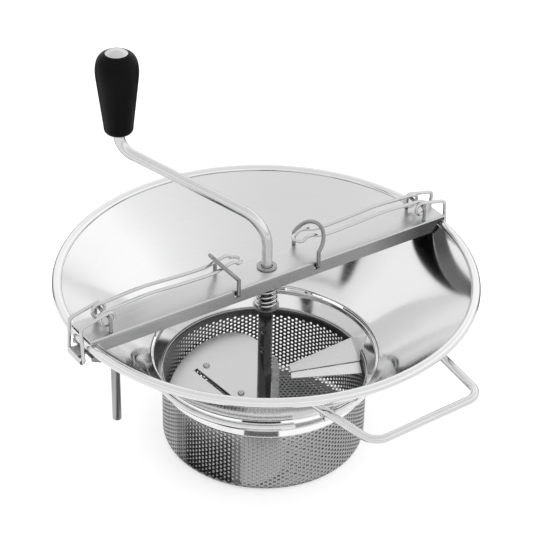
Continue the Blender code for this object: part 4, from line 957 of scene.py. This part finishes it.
def loopPath():
    # Feet inside the bridge's flanges, upright legs, then a half circle that leans outwards.
    x, y, low = common["loopDistance"], loop["gauge"], common["loopPivot"]
    lean = math.radians(loop["lean"])
    knee = low + loop["leg"]
    first = roundedPath([(x, -loop["footEnd"], low), (x, -y, low), (x, -y, knee)], [loop["footBend"]], 8)
    angle = np.pi * np.linspace(0, 1, 33)[1:-1]
    reach = y * np.sin(angle)
    arch = np.stack([x + reach * math.sin(lean), -y * np.cos(angle), knee + reach * math.cos(lean)], -1)
    return np.vstack([first, arch, (first * [1, -1, 1])[::-1]])


def staplePath():
    # Up, across the bridge and down again, with both corners rounded.
    x, y, low, high = clamp["coilDistance"], staple["gauge"], staple["foot"], staple["height"]
    return roundedPath([(x, -y, low), (x, -y, high), (x, y, high), (x, y, low)], [staple["bend"]] * 2, 10)


for side, sign in (("right", 1), ("left", -1)):
    for name, body, path, wire, material in (
            ("clamp_wire", side + "_clamp", clampPath(), clamp["wire"], steel["clamp"]),
            ("keeper_loop", side + "_loop", loopPath(), loop["wire"], steel["loop"]),
            ("staple", "bowl_body", staplePath(), clamp["wire"], steel["loop"])):
        wirePiece(side + name.title().replace("_", ""), path * [sign, sign, 1], wire, body, material,
                  side + "_" + name, 16)
    place = np.array([sign * clamp["bail"], 0, clamp["rollerHeight"]])
    turnedPiece(side + "ClampRoller", roller, side + "_roller", steel["wire"], side + "_clamp_roller", 40,
                move=lambda points: points[:, [0, 2, 1]] * [1, -1, 1] + place)
print("clamps made")

for node, material in (("rim_wire", "dark"), ("blade_rivet_1", "rivet"), ("blade_rivet_2", "rivet")):
    nodes[node].data.materials.clear()
    nodes[node].data.materials.append(steel[material])
    nodes[node].data.shade_smooth()

# Camera, floor and light

view = {"eye": (-0.6157, -0.8955, 0.8665), "azimuth": -34.5, "elevation": 33.5, "roll": 1.3, "lens": 121.6}
camera = added("camera", bpy.data.cameras.new("camera"))
setUp(camera.data, lens=view["lens"], sensor_width=36.0, clip_start=0.05, clip_end=60.0)
scene.camera = camera
down = Euler((math.radians(90 - view["elevation"]), 0, math.radians(view["azimuth"]))).to_matrix()
camera.rotation_mode = "QUATERNION"
camera.rotation_quaternion = (down @ Matrix.Rotation(math.radians(view["roll"]), 3, "Z")).to_quaternion()
camera.location = view["eye"]
scene.view_settings.view_transform = "Standard"

studio = {
    "floorHalf": 9.0,
    "floorDrop": 0.0005,
    "floorGlow": 0.50,       # on the painted floor, so that it shows white
    "floorMirrored": 0.25,   # share of it that steel mirrors
    # painted shade: the floor under the sieve goes without the glow
    "underSieve": (0.062, 0.071),   # the glow grows between these distances from the axis
    # height and grey
    "sky": [(0.0, 0.64), (0.12, 0.88), (0.25, 0.99), (0.50, 1.03), (0.64, 0.89), (0.82, 0.81)],
    "lean": 0.10,            # how much brighter the sky is towards +X
    "lamp": {"azimuth": 150.0, "elevation": 80.0, "distance": 1.6, "size": 1.2, "power": 3.0},
    "matHeight": 0.0002,
    # the mats are cards that paint reflections in the steel, the dark ones standing for shade on the floor
    "backMat": (0.150, 1.500, -5.0, 116.0, 0.10),   # behind the mill: two distances, two bearings, grey
    # what the sieve's outside mirrors, then its ring: two heights on it, and mats of two bearings and grey
    "wallMats": (0.002, 0.0513, [("edgeMatA", -214.0, -180.0, 0.75), ("edgeMatB", -180.0, -172.0, 0.35),
                                 ("darkMat", -172.0, -141.0, 0.0), ("edgeMatC", -141.0, -136.0, 0.25),
                                 ("paleMat", -136.0, -40.0, 0.75)]),
    "ringMats": (0.0515, 0.09, [("ringLeftMat", -214.0, -134.5, 1.15), ("ringDarkMat", -134.5, -116.2, 0.0),
                                ("ringRightMat", -116.2, -40.0, 1.15)]),
}


def stageSheet(name, flat, height=0.0):
    # A flat sheet of the set, with a material of its own.
    points = np.column_stack([flat, np.full(len(flat), height)])
    sheet = added(name, plainMesh(name, points, [tuple(range(len(points)))]))
    material, tree, shader = newMaterial(name)
    sheet.data.materials.append(material)
    return sheet, tree, shader


square = np.array([(-1, -1), (1, -1), (1, 1), (-1, 1)])
floor, tree, shader = stageSheet("floor", square * studio["floorHalf"])
floor.location.z = -studio["floorDrop"]
path = shaderNode(tree, "LightPath").outputs
mirrored = mathNode(tree, "MAXIMUM", path["Is Glossy Ray"], path["Is Transmission Ray"])
mirrored = mathNode(tree, "MULTIPLY", mirrored, studio["floorMirrored"])
seen = mathNode(tree, "MAXIMUM", path["Is Camera Ray"], mirrored)
# the glow is withheld under the sieve, a painted shade there
away = shaderNode(tree, "VectorMath", {0: objectPlace(tree)}, operation="LENGTH")
seen = mathNode(tree, "MULTIPLY", seen, mapRange(tree, away.outputs["Value"], studio["underSieve"]))
glow = mathNode(tree, "MULTIPLY", seen, studio["floorGlow"])
setInputs(tree, shader, {"Base Color": (0.82, 0.82, 0.82, 1), "Roughness": 0.9, "Specular IOR Level": 0.0,
                         "Emission Color": (1, 1, 1, 1), "Emission Strength": glow})

# A sky of greys by height, a little brighter towards +X, and white where the camera sees it
scene.world = setUp(bpy.data.worlds.new("studio"), use_nodes=True)
tree = scene.world.node_tree
way = shaderNode(tree, "SeparateXYZ", {0: shaderNode(tree, "TexCoord").outputs["Generated"]}).outputs
lean = mathNode(tree, "ADD", mathNode(tree, "MULTIPLY", way[0], studio["lean"]), 1.0)
sky = mathNode(tree, "MULTIPLY", greyRamp(tree, way[2], studio["sky"]), lean)
seen = shaderNode(tree, "LightPath").outputs["Is Camera Ray"]
setInputs(tree, tree.nodes["Background"], {"Color": mathNode(tree, "MAXIMUM", sky, seen)})

# One square lamp above the mill, which the steel doesn't mirror
lamp = studio["lamp"]
light = setUp(bpy.data.lights.new("topBox", "AREA"), size=lamp["size"], energy=lamp["power"])
topBox = setUp(added("topBox", light), visible_glossy=False, rotation_mode="QUATERNION")
elevation = math.radians(lamp["elevation"])
towards = Vector(polar(math.cos(elevation), lamp["azimuth"], math.sin(elevation)))
topBox.location = towards * lamp["distance"] + Vector((0, 0, 0.1))
topBox.rotation_quaternion = (-towards).to_track_quat("-Z", "Y")


def card(name, flat, glow):
    # A card on the floor for the steel to mirror, a painted reflection, which isn't seen and sheds neither
    # light nor shade.
    sheet, tree, shader = stageSheet(name, flat, studio["matHeight"])
    setInputs(tree, shader, {"Base Color": (0.01, 0.01, 0.01, 1), "Roughness": 0.9,
                             "Emission Color": (1, 1, 1, 1), "Emission Strength": glow})
    setUp(sheet, visible_camera=False, visible_diffuse=False, visible_shadow=False)


def mirroredFloor(start, end, height):
    # Where the camera's rays, mirrored by an upright wall as wide as the sieve, meet the floor: from each
    # point of the wall a ray goes on by height over slope, at twice the wall's bearing less the camera's.
    turn = np.radians(np.linspace(start, end, 25))
    point = around(sieve["radius"], turn, 0)[:, :2]
    away = np.array(view["eye"][:2]) - point
    onward = 2 * turn - np.arctan2(away[:, 1], away[:, 0])
    reach = height * np.linalg.norm(away, axis=1) / (view["eye"][2] - height)
    return point + around(reach, onward, 0)[:, :2]


for low, high, mats in (studio["wallMats"], studio["ringMats"]):
    for name, start, end, glow in mats:
        card(name, np.vstack([mirroredFloor(start, end, low), mirroredFloor(start, end, high)[::-1]]), glow)
near, far, start, end, glow = studio["backMat"]
sector = np.vstack([arcPoints((0, 0), near, start, end, 18), arcPoints((0, 0), far, end, start, 18)])
card("backMat", sector, glow)
print("set made")
